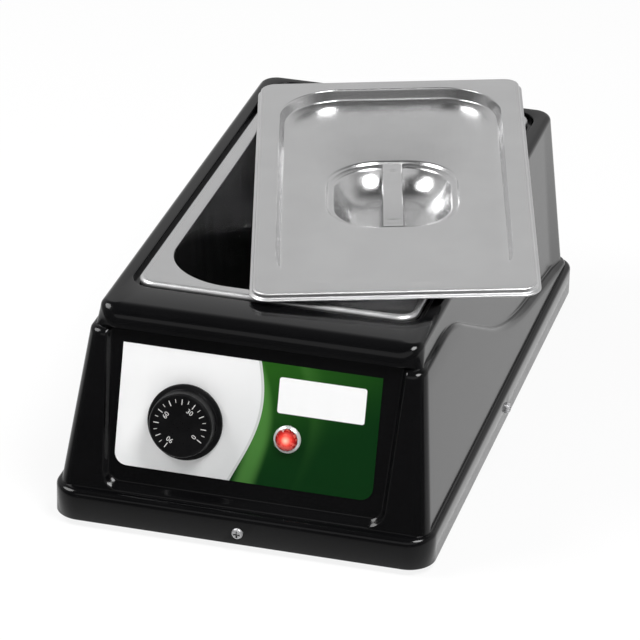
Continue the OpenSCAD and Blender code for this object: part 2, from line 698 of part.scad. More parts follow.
lamp_l = 26;
module pilot_lamp_body() {
    color([0.9, 0.9, 0.88]) on_panel(lamp_x, lamp_s) {
        translate([0, 0, -lamp_l]) cylinder(d = lamp_d, h = lamp_l + label_t);
        for (x = [-1, 1]) translate([x * lamp_tab_x - 0.4, -1.4, -lamp_l - lamp_tab_l])
            cube([0.8, 2.8, lamp_tab_l + 0.5]);
    }
}

module pilot_lamp_nut() {
    color(steel) on_panel(lamp_x, lamp_s) translate([0, 0, -wall - 3]) difference() {
        cylinder(d = 17, h = 3, $fn = 6);
        translate([0, 0, -1]) cylinder(d = lamp_d + 2 * fit, h = 5, $fn = 48);
    }
}

gland_in = 10;
module cable_gland() {
    color([0.12, 0.12, 0.12]) on_back(gland_x, gland_z) difference() {
        union() {
            translate([0, 0, -gland_in]) cylinder(d = gland_d - hole_gap, h = gland_in + 1);
            cylinder(d = 1.5 * gland_d, h = 4, $fn = 6);
            translate([0, 0, 4]) rotate_extrude()
                polygon([[0, 0], [gland_d / 2 + 1.6, 0], [gland_d / 2 + 1.6, 5],
                         [gland_d / 2 - 0.2, 7.4], [gland_d / 2 - 2, 8], [0, 8]]);
        }
        cylinder(d = cord_d, h = 60, center = true, $fn = 48);
    }
}

module gland_nut() {
    color([0.12, 0.12, 0.12]) on_back(gland_x, gland_z) translate([0, 0, -wall_n - 4]) difference() {
        cylinder(d = 1.4 * gland_d, h = 4, $fn = 6);
        translate([0, 0, -1]) cylinder(d = gland_d - hole_gap + 2 * fit, h = 6, $fn = 48);
    }
}

block = [36, 18, 13];
block_back = 36.4;
block_at = [62, plate_y - block_back];
module terminal_block() {
    color([0.9, 0.9, 0.86]) translate([block_at[0], block_at[1], plate_top]) difference() {
        translate([-block[0] / 2, -block[1] / 2, 0]) cube(block);
        for (x = [-1 : 1]) translate([x * pole, 0, 4]) {
            for (y = [-4.5, 4.5]) translate([0, y, 4]) cylinder(d = 4, h = 9);
            rotate([90, 0, 0]) cylinder(d = 3.4, h = 40, center = true);
        }
    }
}

stud_back = 32.4;
stud_at = [24, plate_y - stud_back];
module earth_stud() {
    color(steel) translate([stud_at[0], stud_at[1], plate_top]) {
        cylinder(d = 5, h = 15);
        cylinder(d = 12, h = 1.2);
        translate([0, 0, 1.2]) cylinder(d = 9.2, h = 4, $fn = 6);
    }
}

// Leads run low over the bottom plate and meet each tab square.
wire_r = 1.3;
wire_low = 3;
wire_end = 4;
wire_bend = 8;
pole = 11;
cutout_y = pan_y + 115;
cutout_l = 13;
cutout_x = 4.5;
lamp_tab_x = 3;
lamp_tab_l = 7;
mat_lead = [-14, pan_y + 50];
module internal_wiring() {
    z = plate_top + 4;
    yb = block_at[1] - block[1] / 2;
    x0 = block_at[0];
    low = plate_top + wire_low;
    h = stat_back - tab_l - eps;
    t = panel_pt(knob_x + tab_x, knob_s - 7, h);
    u = panel_pt(knob_x - tab_x, knob_s - 7, h);
    a = panel_pt(lamp_x + lamp_tab_x, lamp_s, -lamp_l - lamp_tab_l - eps);
    b = panel_pt(lamp_x - lamp_tab_x, lamp_s, -lamp_l - lamp_tab_l - eps);
    out = wire_bend * [0, cos(panel_tilt), -sin(panel_tilt)];
    c = floor_z - well_t - cutout_l - eps;
    m = floor_z - well_t - mat_t - eps;
    color([0.55, 0.15, 0.12]) {
        run([[x0 - pole, yb, z], [x0 - pole, yb - 12, low], [t[0], t[1] + 30, low], t + out, t], wire_r);
        run([[x0, yb, z], [x0, yb - 20, low], [x0 - 6, b[1] + 43, low], b + out, b], wire_r);
        run([[cutout_x, cutout_y, c], [cutout_x, cutout_y, c - wire_end], [cutout_x, cutout_y - 15, low],
             [u[0], u[1] + 36, low], u + out, u], wire_r);
    }
    color([0.1, 0.2, 0.5]) {
        run([[x0 + pole, yb, z], [x0 + pole, yb - 20, low], [x0 + pole + 3, a[1] + 45, low],
             a + out, a], wire_r);
        run([[-cutout_x, cutout_y, c], [-cutout_x, cutout_y, c - wire_end], [mat_lead[0], cutout_y - 20, low],
             [mat_lead[0], mat_lead[1] + wire_bend, low], [mat_lead[0], mat_lead[1], m - wire_bend],
             [mat_lead[0], mat_lead[1], m]], wire_r);
    }
}

// Pan rings go from the inside bottom up, over the flange and its turned edge, and down the outside.
pan_f = 16;
module pan() {
    h = pan_depth - sheet;
    tz = flange_z - pan_depth;
    shrink = h * tan(pan_draft);
    in = [for (a = [0, 22.5, 45, 67.5, 90 - pan_draft]) let (d = -shrink - pan_f * (1 - sin(a)))
        rr(pan_bx + d, pan_by + d, open_r + d, tz + sheet + pan_f * (1 - cos(a)), pan_y)];
    out = [for (a = [90 - pan_draft, 67.5, 45, 22.5, 0]) let (d = sheet - shrink - pan_f * (1 - sin(a)))
        rr(pan_bx + d, pan_by + d, open_r + d, tz + pan_f * (1 - cos(a)), pan_y)];
    fx = pan_w / 2;
    fy = pan_l / 2;
    color(steel) skin(concat(in,
        [rr(pan_bx, pan_by, open_r, flange_z - 2.4, pan_y),
         rr(pan_bx + 0.4, pan_by + 0.4, open_r + 0.4, flange_z - 0.9, pan_y),
         rr(pan_bx + 1.2, pan_by + 1.2, open_r + 1.2, flange_z - 0.2, pan_y),
         rr(pan_bx + 2.2, pan_by + 2.2, open_r + 2, flange_z, pan_y),
         rr(fx - 2, fy - 2, flange_r - 2, flange_z, pan_y),
         rr(fx - 0.9, fy - 0.9, flange_r - 0.9, flange_z - 0.3, pan_y),
         rr(fx - 0.3, fy - 0.3, flange_r - 0.3, flange_z - 0.9, pan_y),
         rr(fx, fy, flange_r, flange_z - 2, pan_y),
         rr(fx, fy, flange_r, flange_z - pan_edge, pan_y),
         rr(fx - sheet, fy - sheet, flange_r - sheet, flange_z - pan_edge, pan_y),
         rr(fx - sheet, fy - sheet, flange_r - sheet, flange_z - 2, pan_y),
         rr(fx - 2, fy - 2, flange_r - 2, flange_z - sheet, pan_y),
         rr(pan_bx + 2.6, pan_by + 2.6, open_r + 2, flange_z - sheet, pan_y),
         rr(pan_bx + sheet, pan_by + sheet, open_r + sheet, flange_z - 2.6, pan_y)], out));
}

// The lid is drawn level with its rim top at Z = 0 and then laid down.
module lay() {
    translate([lid_x, pan_y + lid_y, flange_z + lid_up]) rotate([lid_pitch, lid_roll, lid_turn]) children();
}

bowl_x = bowl_w / 2;
bowl_y = bowl_l / 2;
bowl_r = 36;
press_x = lid_w / 2 - lid_rim;
press_y = lid_l / 2 - lid_rim;
press_r = 30;
rest_in = 2.8;
bowl_curve = [[18.6, 1], [10.4, 0.86], [5, 0.58], [1.9, 0.28]];
bowl_steps = concat(
    [for (b = bowl_curve) [rest_in + rest_w + b[0], rest_d + b[1] * (bowl_d - rest_d)]],
    [[rest_in + rest_w, rest_d], [rest_in, rest_d], [0.57 * rest_in, 0.45 * rest_d], [0, 0]]);
hem = 1;
groove = 0.6;
lid_n = 7;
module lid() {
    x = lid_w / 2;
    y = lid_l / 2;
    p = lid_panel_d;
    top = concat(
        [for (b = bowl_steps) rr(bowl_x - b[0], bowl_y - b[0], bowl_r - b[0], -p - b[1], 0, lid_n)],
        [for (b = [[6, 1], [4.6, 0.88], [1.4, 0.12], [0, 0]])
            rr(press_x - b[0], press_y - b[0], press_r - b[0], -p * b[1], 0, lid_n)],
        [for (b = [[1.8, 0], [0.7, 0.4], [0.2, 1], [0, 1.8], [groove, lid_edge - 2 * hem],
                   [0, lid_edge - hem], [0, lid_edge - 0.4], [0.4, lid_edge]])
            rr(x - b[0], y - b[0], flange_r - b[0], -b[1], 0, lid_n)]);
    under = concat(
        [for (b = [[sheet + groove, lid_edge], [sheet + groove, 2], [2 * sheet + groove, sheet]])
            rr(x - b[0], y - b[0], flange_r - b[0], -b[1], 0, lid_n)],
        [for (b = [[-0.6, 0], [0.7, 0.12], [3.9, 0.88], [5.6, 1]])
            rr(press_x - b[0], press_y - b[0], press_r - b[0], -p * b[1] - sheet, 0, lid_n)],
        [for (i = [len(bowl_steps) - 1 : -1 : 0])
            let (b = bowl_steps[i], d = b[0] - sheet * (1 - b[1] / bowl_d))
            rr(bowl_x - d, bowl_y - d, bowl_r - d, -p - b[1] - sheet, 0, lid_n)]);
    color(steel) lay() skin(concat(top, under));
}

// Strap handle: arched strip whose flat ends are welded on the ledge round the bowl.
module lid_handle() {
    l = bowl_y - rest_in - rest_w;
    e = bowl_y - rest_in - rest_gap;
    m = 16;
    arch = [for (i = [0 : m]) let (y = -l + 2 * l * i / m) [y, strap_rise * sin(90 + 90 * y / l)]];
    low = concat([[-e, 0]], arch, [[e, 0]]);
    n = len(low);
    color(steel) lay() translate([-strap_w / 2, 0, -lid_panel_d - rest_d]) rotate([90, 0, 90])
        linear_extrude(strap_w) polygon(concat(low, [for (i = [n - 1 : -1 : 0]) low[i] + [0, strap_t]]));
}

housing();
bottom_plate();
feet();
foot_screws();
foot_nuts();
skirt_screws();
heating_well();
well_screws();
heater_mat();
thermal_cutout();
thermostat_body();
thermostat_screws();
thermostat_bulb();
capillary_tube();
bulb_clip();
thermostat_shaft();
knob();
control_label();
pilot_lamp_bezel();
pilot_lamp_lens();
pilot_lamp_body();
pilot_lamp_nut();
cable_gland();
gland_nut();
terminal_block();
earth_stud();
internal_wiring();
pan();
lid();
lid_handle();
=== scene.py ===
import math

import bmesh
import bpy
from mathutils import Matrix, Vector


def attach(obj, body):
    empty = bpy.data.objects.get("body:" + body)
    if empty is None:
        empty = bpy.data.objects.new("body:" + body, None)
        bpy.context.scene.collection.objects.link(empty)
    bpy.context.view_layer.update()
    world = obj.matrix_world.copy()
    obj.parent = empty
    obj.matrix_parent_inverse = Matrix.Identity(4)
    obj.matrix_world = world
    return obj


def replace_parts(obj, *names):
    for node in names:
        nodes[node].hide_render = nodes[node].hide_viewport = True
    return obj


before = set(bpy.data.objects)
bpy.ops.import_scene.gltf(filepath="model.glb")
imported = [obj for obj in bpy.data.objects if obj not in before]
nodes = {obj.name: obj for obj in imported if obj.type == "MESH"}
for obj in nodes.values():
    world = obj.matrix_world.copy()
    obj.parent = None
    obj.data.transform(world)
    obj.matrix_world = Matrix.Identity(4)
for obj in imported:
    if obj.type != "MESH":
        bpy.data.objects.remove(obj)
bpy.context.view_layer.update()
scene = bpy.context.scene
scene.view_settings.view_transform = "Standard"
MM = 0.001


def rad(degrees):
    return math.radians(degrees)


def sin(degrees):
    return math.sin(math.radians(degrees))


def cos(degrees):
    return math.cos(math.radians(degrees))


def tan(degrees):
    return math.tan(math.radians(degrees))


# Sizes in millimetres and angles in degrees, most of them as in the solids, and some forms finer

# Base lip
LIP_W = 238.6
LIP_L = 416.8
LIP_Y = LIP_L / 2
LIP_R = 17.0
LIP_Z = 4.0
LIP_H = 20.0
LEDGE = LIP_Z + LIP_H
LIP_CHAMFER = 0.5
LIP_INNER_DROP = 4.0
LIP_SCREW_UP = 8.0
LIP_SCREW_R = 2.2
WALL = 3.5

# Rounding along the top of the lip at the sides, and what the front adds to it
LIP_ROUND_W = 2.4
LIP_ROUND_H = 2.6
FRONT_ROUND_W = 3.2
FRONT_ROUND_H = 2.2

# Hood, the upper block, with a large roll along its front
HOOD_Z = 133.7
HOOD_W = 202.0
HOOD_DRAFT = 5.2
HOOD_EDGE = 4.0
HOOD_FRONT = 33.9
HOOD_BACK = 6.4
HOOD_RF = 14.0
HOOD_RB = 12.0
HOOD_ROLL_R = 12.5
FRONT_Y = -LIP_Y + HOOD_FRONT
BACK_Y = LIP_Y - HOOD_BACK

# Lower block, with a pillar at each end of its front
LOW_STEP = 3.4
LOW_X = LIP_W / 2 - LOW_STEP
LOW_BACK = 4.6
LOW_DRAFT = 6.55
LOW_RF = 9.0
LOW_RB = 13.0
PILLAR_SET = 6.7

# Shoulder between the blocks: level, bending down, falling straight, bending back and running out in a tail
SHOULDER_DROP = 14.2
SHOULDER_Z = HOOD_Z - SHOULDER_DROP
SHOULDER_R = 4.5
SHOULDER_MIN = 4.0
SHOULDER_K = 0.88
LEVEL_END = 60.0
BEND_DOWN_R = 130.0
FALL_ANGLE = 24.2
FALL_END = 188.0
BEND_BACK_R = 406.0
TAIL_ANGLE = 8.0
BEND_Y = -LIP_Y + LEVEL_END
LINE_Y = BEND_Y + BEND_DOWN_R * sin(FALL_ANGLE)
LINE_Z = SHOULDER_Z - BEND_DOWN_R * (1 - cos(FALL_ANGLE))
FALL_Y = -LIP_Y + FALL_END
FALL_Z = LINE_Z - (FALL_Y - LINE_Y) * tan(FALL_ANGLE)
TAIL_Y = FALL_Y + BEND_BACK_R * (sin(FALL_ANGLE) - sin(TAIL_ANGLE))
TAIL_Z = FALL_Z - BEND_BACK_R * (cos(TAIL_ANGLE) - cos(FALL_ANGLE))

# Soft inner corners: reach up the hood, out over the shoulder, what the front adds, and at the wall's foot
CREASE_UP = 1.4
CREASE_OUT = 0.5
FRONT_CREASE_UP = 4.0
FRONT_CREASE_OUT = 2.0
FOOT_REACH = 2.0

# Sloping panel at the bottom of its recess
PANEL_TILT = 15.0
PANEL_TOP_R = 0.8
RECESS_D = 5.0
RECESS_TOP = 189.0
RECESS_BOT = 178.0
RECESS_UP = 0.5
RECESS_R = 11.0
RECESS_RAMP = 4.5
WALL_N = WALL / cos(PANEL_TILT)
RECESS_N = RECESS_D / cos(PANEL_TILT)
PANEL_Y = -LIP_Y + PILLAR_SET + RECESS_N

# Knob, pilot lamp and label, placed across the panel and up its slope, the label by its bottom
KNOB_X = -40.0
KNOB_S = 47.4
CAP_H = 14.0
SHAFT_D = 6.0
SHAFT_ROOM = 2.0
STAT_PITCH = 28.0
STAT_SCREW_R = 2.2
LAMP_X = 23.8
LAMP_S = 45.6
LAMP_D = 11.0
LAMP_ROOM = 0.2
BEZEL_H = 2.4
LABEL_T = 0.4
LABEL_X = -2.0
LABEL_S = 15.0
LABEL_W = 162.0
LABEL_H = 76.0

# Cable gland in the back wall
GLAND_X = 60.0
GLAND_Z = 46.0
GLAND_D = 16.4

# Pan and its rolled flange
SHEET = 0.8
PAN_W = 176.0
PAN_L = 325.0
PAN_DEPTH = 100.0
PAN_Y = 26.8
PAN_DRAFT = 3.5
PAN_FLOOR_R = 16.0
PAN_MOUTH_R = 2.2
PAN_GAP = 3.7
PAN_REST = 0.3
PAN_EDGE = 3.6
PAN_ROLL_W = 3.4
PAN_ROLL_H = 3.0
FLANGE_W = 10.5
FLANGE_R = 12.0
FLANGE_UP = 1.3
FLANGE_Z = HOOD_Z + FLANGE_UP
OPEN_R = 46.0
PAN_BX = PAN_W / 2 - FLANGE_W
PAN_BY = PAN_L / 2 - FLANGE_W

# Heating well, and the screws through it, placed by shares of the flange's width and the pan's length
WELL_T = 1.0
WELL_GAP = 1.2
WELL_FLOOR_R = 10.0
WELL_EDGE = 0.6
WELL_AIR = 5.0
WELL_INSET = 1.0
WELL_Z = FLANGE_Z - PAN_EDGE - PAN_REST
SEAT_Z = WELL_Z - WELL_T
FLOOR_Z = FLANGE_Z - PAN_DEPTH - WELL_AIR
WELL_SCREW_OUT = 0.58
WELL_SCREW_ALONG = 0.68
WELL_HOLE_R = 1.5
SEAT_HOLE_R = 1.45

# Opening in the hood and the seat inside it, as distances out from the pan's mouth
SEAT_ROOM = 0.6
SEAT_OUT = SHEET + WELL_GAP + WELL_T + SEAT_ROOM
HOLE_OUT = FLANGE_W + PAN_GAP
HOLE_R = FLANGE_R + PAN_GAP
HOLE_EDGE = 0.8

# Lid, its bowl, the ledge round the bowl and the strap that rests there
LID_W = 177.0
LID_L = 329.0
LID_PANEL_D = 9.0
LID_RIM = 15.0
LID_EDGE = 4.8
HEM_IN = 1.9
HEM_R = 1.3
PRESS_R = 41.0
BOWL_X = 43.5
BOWL_Y = 51.0
BOWL_R = 36.0
BOWL_D = 17.0
REST_IN = 2.8
REST_W = 2.6
REST_D = 2.3
REST_GAP = 0.3
STRAP_W = 12.7
STRAP_T = 1.5
STRAP_RISE = 2.0

# How the lid lies: askew and tilted, moved from the middle of the pan's flange
LID_TURN = 14.87
LID_ROLL = -2.74
LID_PITCH = -0.13
LID_X = 30.8
LID_Y = 8.0
LID_UP = 9.63
LID_AT = (LID_X, PAN_Y + LID_Y, FLANGE_Z + LID_UP)

# Plans as half width, half length and corner radius
PAN_MOUTH = (PAN_BX, PAN_BY, OPEN_R)
PAN_RIM = (PAN_W / 2, PAN_L / 2, FLANGE_R)
WELL_PLAN = tuple(size + SHEET + WELL_GAP for size in PAN_MOUTH)
BOWL_PLAN = (BOWL_X, BOWL_Y, BOWL_R)
PRESS_PLAN = (LID_W / 2 - LID_RIM, LID_L / 2 - LID_RIM, PRESS_R)
LID_PLAN = (LID_W / 2, LID_L / 2, FLANGE_R)


def add_object(name, data):
    """New object in the scene."""
    obj = bpy.data.objects.new(name, data)
    scene.collection.objects.link(obj)
    return obj


# Camera at the photograph's viewing angle, with its place in metres and its focal length in pixels
VIEW_TURN = 14.51
VIEW_UP = 26.40
VIEW_ROLL = 1.37
VIEW_PLACE = (0.5857, -2.2850, 1.2277)
FOCAL_PIXELS = 4099.36
IMAGE_PIXELS = 640
SENSOR = 36


def make_camera():
    back = Vector((sin(VIEW_TURN) * cos(VIEW_UP), -cos(VIEW_TURN) * cos(VIEW_UP), sin(VIEW_UP)))
    right = Vector((cos(VIEW_TURN), sin(VIEW_TURN), 0))
    up = back.cross(right)
    x = cos(VIEW_ROLL) * right + sin(VIEW_ROLL) * up
    y = -sin(VIEW_ROLL) * right + cos(VIEW_ROLL) * up
    place = Matrix((x, y, back)).transposed().to_4x4()
    place.translation = Vector(VIEW_PLACE)
    data = bpy.data.cameras.new("camera")
    data.sensor_fit = "HORIZONTAL"
    data.sensor_width = SENSOR
    data.lens = SENSOR * FOCAL_PIXELS / IMAGE_PIXELS
    data.clip_start, data.clip_end = 0.05, 60
    scene.camera = add_object("camera", data)
    scene.camera.matrix_world = place


make_camera()


# Mesh helpers
def span(a, b, n):
    """Values from a to b in n even steps."""
    return [a + (b - a) * i / n for i in range(n + 1)]


def ease(t):
    """Smooth step from 0 to 1."""
    t = min(max(t, 0.0), 1.0)
    return t * t * (3 - 2 * t)


def quarter(wide, tall, n, start=90, end=0):
    """Quarter round in n steps as pairs of inset and drop, from top to side unless turned round."""
    return [(wide * (1 - cos(a)), tall * (1 - sin(a))) for a in span(start, end, n)]


def closed_mesh(name, verts, faces):
    """Mesh from points in metres, with its faces turned outwards."""
    mesh = bpy.data.meshes.new(name)
    mesh.from_pydata(verts, [], faces)
    bm = bmesh.new()
    bm.from_mesh(mesh)
    bmesh.ops.recalc_face_normals(bm, faces=bm.faces)
    bm.to_mesh(mesh)
    bm.free()
    return mesh


def made_mesh(obj):
    """Mesh of an object with its modifiers or its text worked out."""
    bpy.context.view_layer.update()
    return bpy.data.meshes.new_from_object(obj.evaluated_get(bpy.context.evaluated_depsgraph_get()))


def solid(name, verts, faces, body, slot, mat, sharp=38.0, place=None):
    """A smooth shaded piece from points in millimetres, riding on a body."""
    mesh = closed_mesh(name, [[c * MM for c in v] for v in verts], faces)
    mesh.polygons.foreach_set("use_smooth", [True] * len(mesh.polygons))
    mesh.set_sharp_from_angle(angle=rad(sharp))
    mesh.materials.append(mat)
    obj = add_object(name, mesh)
    if place is not None:
        obj.matrix_world = place
    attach(obj, body)
    return obj


def ring_faces(n, m, closed=False):
    """Quads between m rings of n points, with end caps unless the rings close on themselves."""
    faces = [(j * n + i, j * n + (i + 1) % n, (j + 1) % m * n + (i + 1) % n, (j + 1) % m * n + i)
             for j in range(m if closed else m - 1) for i in range(n)]
    if not closed:
        faces += end_caps(n, m)
    return faces


def end_caps(n, m):
    """Faces that close the first and the last of m rings of n points."""
    return [tuple(range(n - 1, -1, -1)), tuple((m - 1) * n + i for i in range(n))]


def skin(rings, closed=False):
    """Points and faces of a surface through rings."""
    return [p for r in rings for p in r], ring_faces(len(rings[0]), len(rings), closed)


def rounded_ring(hx, hy, r, z, y=0.0, n=18, m=6):
    """Rounded rectangle ring with n steps in each corner and m steps along each side."""
    pts = []
    for c in range(4):
        sx, sy = (1 if c < 2 else -1), (1 if c in (1, 2) else -1)
        for i in range(n + 1):
            a = 90 * (c - 1) + 90 * i / n
            pts.append((sx * (hx - r) + r * cos(a), y + sy * (hy - r) + r * sin(a), z))
    out = []
    for i, p in enumerate(pts):
        out.append(p)
        if i % (n + 1) == n:
            q = pts[(i + 1) % len(pts)]
            out += [tuple(p[k] + (q[k] - p[k]) * j / m for k in range(3)) for j in range(1, m)]
    return out


def grown_ring(sizes, d, z, y=0.0):
    """Ring of a plan that is grown by d all round."""
    hx, hy, r = sizes
    return rounded_ring(hx + d, hy + d, r + d, z, y)


def curve_through(points, k=4):
    """Smooth line through a list of points, k steps between each pair."""
    out = []
    for i in range(len(points) - 1):
        p0, p1 = points[max(i - 1, 0)], points[i]
        p2, p3 = points[i + 1], points[min(i + 2, len(points) - 1)]
        for j in range(k):
            t = j / k
            out.append(tuple(0.5 * (2 * b + (c - a) * t + (2 * a - 5 * b + 4 * c - d) * t * t
                                    + (3 * b - a - 3 * c + d) * t ** 3)
                             for a, b, c, d in zip(p0, p1, p2, p3)))
    return out + [tuple(points[-1])]


def turned(x, y, z, angle, axis):
    """Place in metres, turned about an axis."""
    return Matrix.Translation(Vector((x, y, z)) * MM) @ Matrix.Rotation(rad(angle), 4, axis)


def on_panel(x, s, h=0.0):
    """Place on the sloping panel in metres, local Z pointing out of it."""
    return turned(0, PANEL_Y, LEDGE, 90 - PANEL_TILT, "X") @ Matrix.Translation(Vector((x, s, h)) * MM)


def cutter(place, radius, low=-2 * WALL, high=WALL, n=32):
    """Closed round rod for cutting a hole, in metres, as points and faces."""
    pts = [place @ Vector((radius * MM * cos(360 * i / n), radius * MM * sin(360 * i / n), h * MM))
           for h in (low, high) for i in range(n)]
    return pts, ring_faces(n, 2)


def cut_holes(obj, rods):
    """Cuts round holes out of a piece."""
    verts, faces = [], []
    for pts, fs in rods:
        faces += [tuple(i + len(verts) for i in f) for f in fs]
        verts += pts
    tool = add_object("rods", closed_mesh("rods", verts, faces))
    mod = obj.modifiers.new("holes", "BOOLEAN")
    mod.operation, mod.solver, mod.object = "DIFFERENCE", "EXACT", tool
    done = made_mesh(obj)
    obj.modifiers.clear()
    obj.data = done
    bpy.data.objects.remove(tool)


# Material helpers
def node(tree, kind, **values):
    """New node with its settings."""
    n = tree.nodes.new(kind)
    for key, value in values.items():
        setattr(n, key, value)
    return n


def set_in(n, **values):
    """Constant values on a node's own sockets."""
    for key, value in values.items():
        n.inputs[key.replace("_", " ")].default_value = value


def link(tree, a, out, b, into):
    tree.links.new(a.outputs[out], b.inputs[into])


def blank(name):
    """New material with its node tree and its shader."""
    mat = bpy.data.materials.new(name)
    mat.use_nodes = True
    tree = mat.node_tree
    return mat, tree, tree.nodes["Principled BSDF"]


def coords(tree, scale=(1, 1, 1)):
    """Object coordinates, stretched by a scale."""
    tc = node(tree, "ShaderNodeTexCoord")
    mp = node(tree, "ShaderNodeMapping")
    set_in(mp, Scale=scale)
    link(tree, tc, "Object", mp, "Vector")
    return mp


def noise(tree, at, scale, detail, rough=0.55):
    n = node(tree, "ShaderNodeTexNoise")
    set_in(n, Scale=scale, Detail=detail, Roughness=rough)
    link(tree, at, "Vector", n, "Vector")
    return n


def cells(tree, at, scale):
    n = node(tree, "ShaderNodeTexVoronoi", feature="F1")
    set_in(n, Scale=scale)
    link(tree, at, "Vector", n, "Vector")
    return n


def ramp(tree, src, out, stops):
    """Colour ramp with stops of place and colour, or of place and grey level."""
    r = node(tree, "ShaderNodeValToRGB")
    while len(r.color_ramp.elements) < len(stops):
        r.color_ramp.elements.new(0.5)
    for e, (pos, col) in zip(r.color_ramp.elements, stops):
        e.position = pos
        e.color = (*col, 1.0) if isinstance(col, tuple) else (col, col, col, 1.0)
    link(tree, src, out, r, "Fac")
    return r


def spread(tree, src, out, lo, hi, a=0.3, b=0.7):
    """Value from lo to hi while the source goes from a to b."""
    m = node(tree, "ShaderNodeMapRange")
    set_in(m, From_Min=a, From_Max=b, To_Min=lo, To_Max=hi)
    link(tree, src, out, m, "Value")
    return m


def smooth(tree, value, a, b, lo=0.0, hi=1.0):
    """Socket that goes smoothly from lo to hi while another goes from a to b."""
    m = node(tree, "ShaderNodeMapRange", interpolation_type="SMOOTHSTEP")
    set_in(m, From_Min=a, From_Max=b, To_Min=lo, To_Max=hi)
    tree.links.new(value, m.inputs["Value"])
    return m.outputs["Result"]


def calc(tree, operation, *values):
    """Socket worked out from numbers and sockets."""
    m = node(tree, "ShaderNodeMath", operation=operation)
    for into, value in zip(m.inputs, values):
        if isinstance(value, (int, float)):
            into.default_value = value
        else:
            tree.links.new(value, into)
    return m.outputs[0]


def blend(tree, share, a, b):
    """Socket that mixes two colours, given as values or sockets."""
    m = node(tree, "ShaderNodeMix", data_type="RGBA")
    tree.links.new(share, m.inputs["Factor"])
    for name, value in (("A", a), ("B", b)):
        if isinstance(value, tuple):
            m.inputs[name].default_value = (*value, 1.0)
        else:
            tree.links.new(value, m.inputs[name])
    return m.outputs["Result"]


def bump(tree, bsdf, src, strength, distance, under=None):
    b = node(tree, "ShaderNodeBump")
    set_in(b, Strength=strength, Distance=distance)
    link(tree, src, "Fac", b, "Height")
    if under is not None:
        link(tree, under, "Normal", b, "Normal")
    link(tree, b, "Normal", bsdf, "Normal")
    return b


# Height of a fine grain in metres, and scale of the broad colour variation as a share of the grain's
GRAIN_H = 0.0004
BROAD = 0.12
# Clouding of steel as a share of its tone
CLOUDING = 0.03
# Added roughness of the worked edges of pan and lid, and half the width of its fade
EDGE_DULL = 0.20
EDGE_FADE = 0.4


def plain(name, dark, light, rough, scale, lift, metal=0.0, **values):
    """Surface with a little colour variation, uneven gloss and a fine grain."""
    mat, t, bsdf = blank(name)
    at = coords(t)
    broad = noise(t, at, scale * BROAD, detail=3.0)
    fine = noise(t, at, scale, detail=6.0)
    link(t, ramp(t, broad, "Fac", [(0.3, dark), (0.7, light)]), "Color", bsdf, "Base Color")
    link(t, spread(t, fine, "Fac", *rough), "Result", bsdf, "Roughness")
    bump(t, bsdf, fine, lift, GRAIN_H)
    set_in(bsdf, Metallic=metal, **values)
    return mat


def shell_plastic():
    """Glossy black formed plastic: faint orange peel, soft scuffs and specks of dust."""
    mat, t, bsdf = blank("shell_plastic")
    at = coords(t)
    broad = noise(t, at, 9.0, detail=3.0)
    scuff = noise(t, coords(t, (1.0, 1.0, 3.0)), 60.0, detail=8.0, rough=0.65)
    peel = noise(t, at, 420.0, detail=2.0)
    tint = ramp(t, broad, "Fac", [(0.3, (0.0022, 0.0022, 0.0025)), (0.75, (0.0040, 0.0040, 0.0044))])
    dust = ramp(t, cells(t, at, 150.0), "Distance", [(0.0, 0.02), (0.05, 0.0)])
    add = node(t, "ShaderNodeMix", data_type="RGBA", blend_type="ADD")
    set_in(add, Factor=0.5)
    link(t, tint, "Color", add, "A")
    link(t, dust, "Color", add, "B")
    link(t, add, "Result", bsdf, "Base Color")
    link(t, spread(t, scuff, "Fac", 0.10, 0.15), "Result", bsdf, "Roughness")
    bump(t, bsdf, peel, strength=0.03, distance=0.0002)
    set_in(bsdf, IOR=1.35)
    return mat


def edge_dulling(tree, half_x, half_y, middle_y, width):
    """Extra roughness along the worked edge of a sheet with rounded corners, sizes in millimetres."""
    # The reach upwards is longer than any sheet, so that height doesn't count
    reach = Vector((half_x - FLANGE_R, half_y - FLANGE_R, LID_L)) * MM
    far = coords(tree)
    for operation, value in (("SUBTRACT", Vector((0, middle_y, 0)) * MM), ("ABSOLUTE", None),
                             ("SUBTRACT", reach), ("MAXIMUM", (0, 0, 0)), ("LENGTH", None)):
        step = node(tree, "ShaderNodeVectorMath", operation=operation)
        link(tree, far, "Vector", step, 0)
        if value is not None:
            step.inputs[1].default_value = value
        far = step
    start = FLANGE_R - width
    return spread(tree, far, "Value", 0.0, EDGE_DULL, (start - EDGE_FADE) * MM, (start + EDGE_FADE) * MM)


def satin_steel(name, tone, rough, brush, stretch, worked=None):
    """Satin stainless sheet: fine drawn lines in the gloss, soft clouding and slight waves.

    A worked edge, where one is given, is duller than the sheet.
    """
    mat, t, bsdf = blank(name)
    lines = noise(t, coords(t, stretch), brush, detail=2.0, rough=0.5)
    cloud = noise(t, coords(t), 26.0, detail=2.0)
    wave = noise(t, coords(t), 14.0, detail=1.0)
    lo = tuple(c * (1 - CLOUDING) for c in tone)
    hi = tuple(c * (1 + CLOUDING) for c in tone)
    link(t, ramp(t, cloud, "Fac", [(0.3, lo), (0.7, hi)]), "Color", bsdf, "Base Color")
    gloss = spread(t, lines, "Fac", *rough).outputs["Result"]
    if worked is not None:
        gloss = calc(t, "ADD", gloss, edge_dulling(t, *worked).outputs["Result"])
    t.links.new(gloss, bsdf.inputs["Roughness"])
    first = bump(t, bsdf, lines, strength=0.02, distance=0.00002)
    bump(t, bsdf, wave, strength=0.35, distance=0.0004, under=first)
    set_in(bsdf, Metallic=1.0)
    return mat


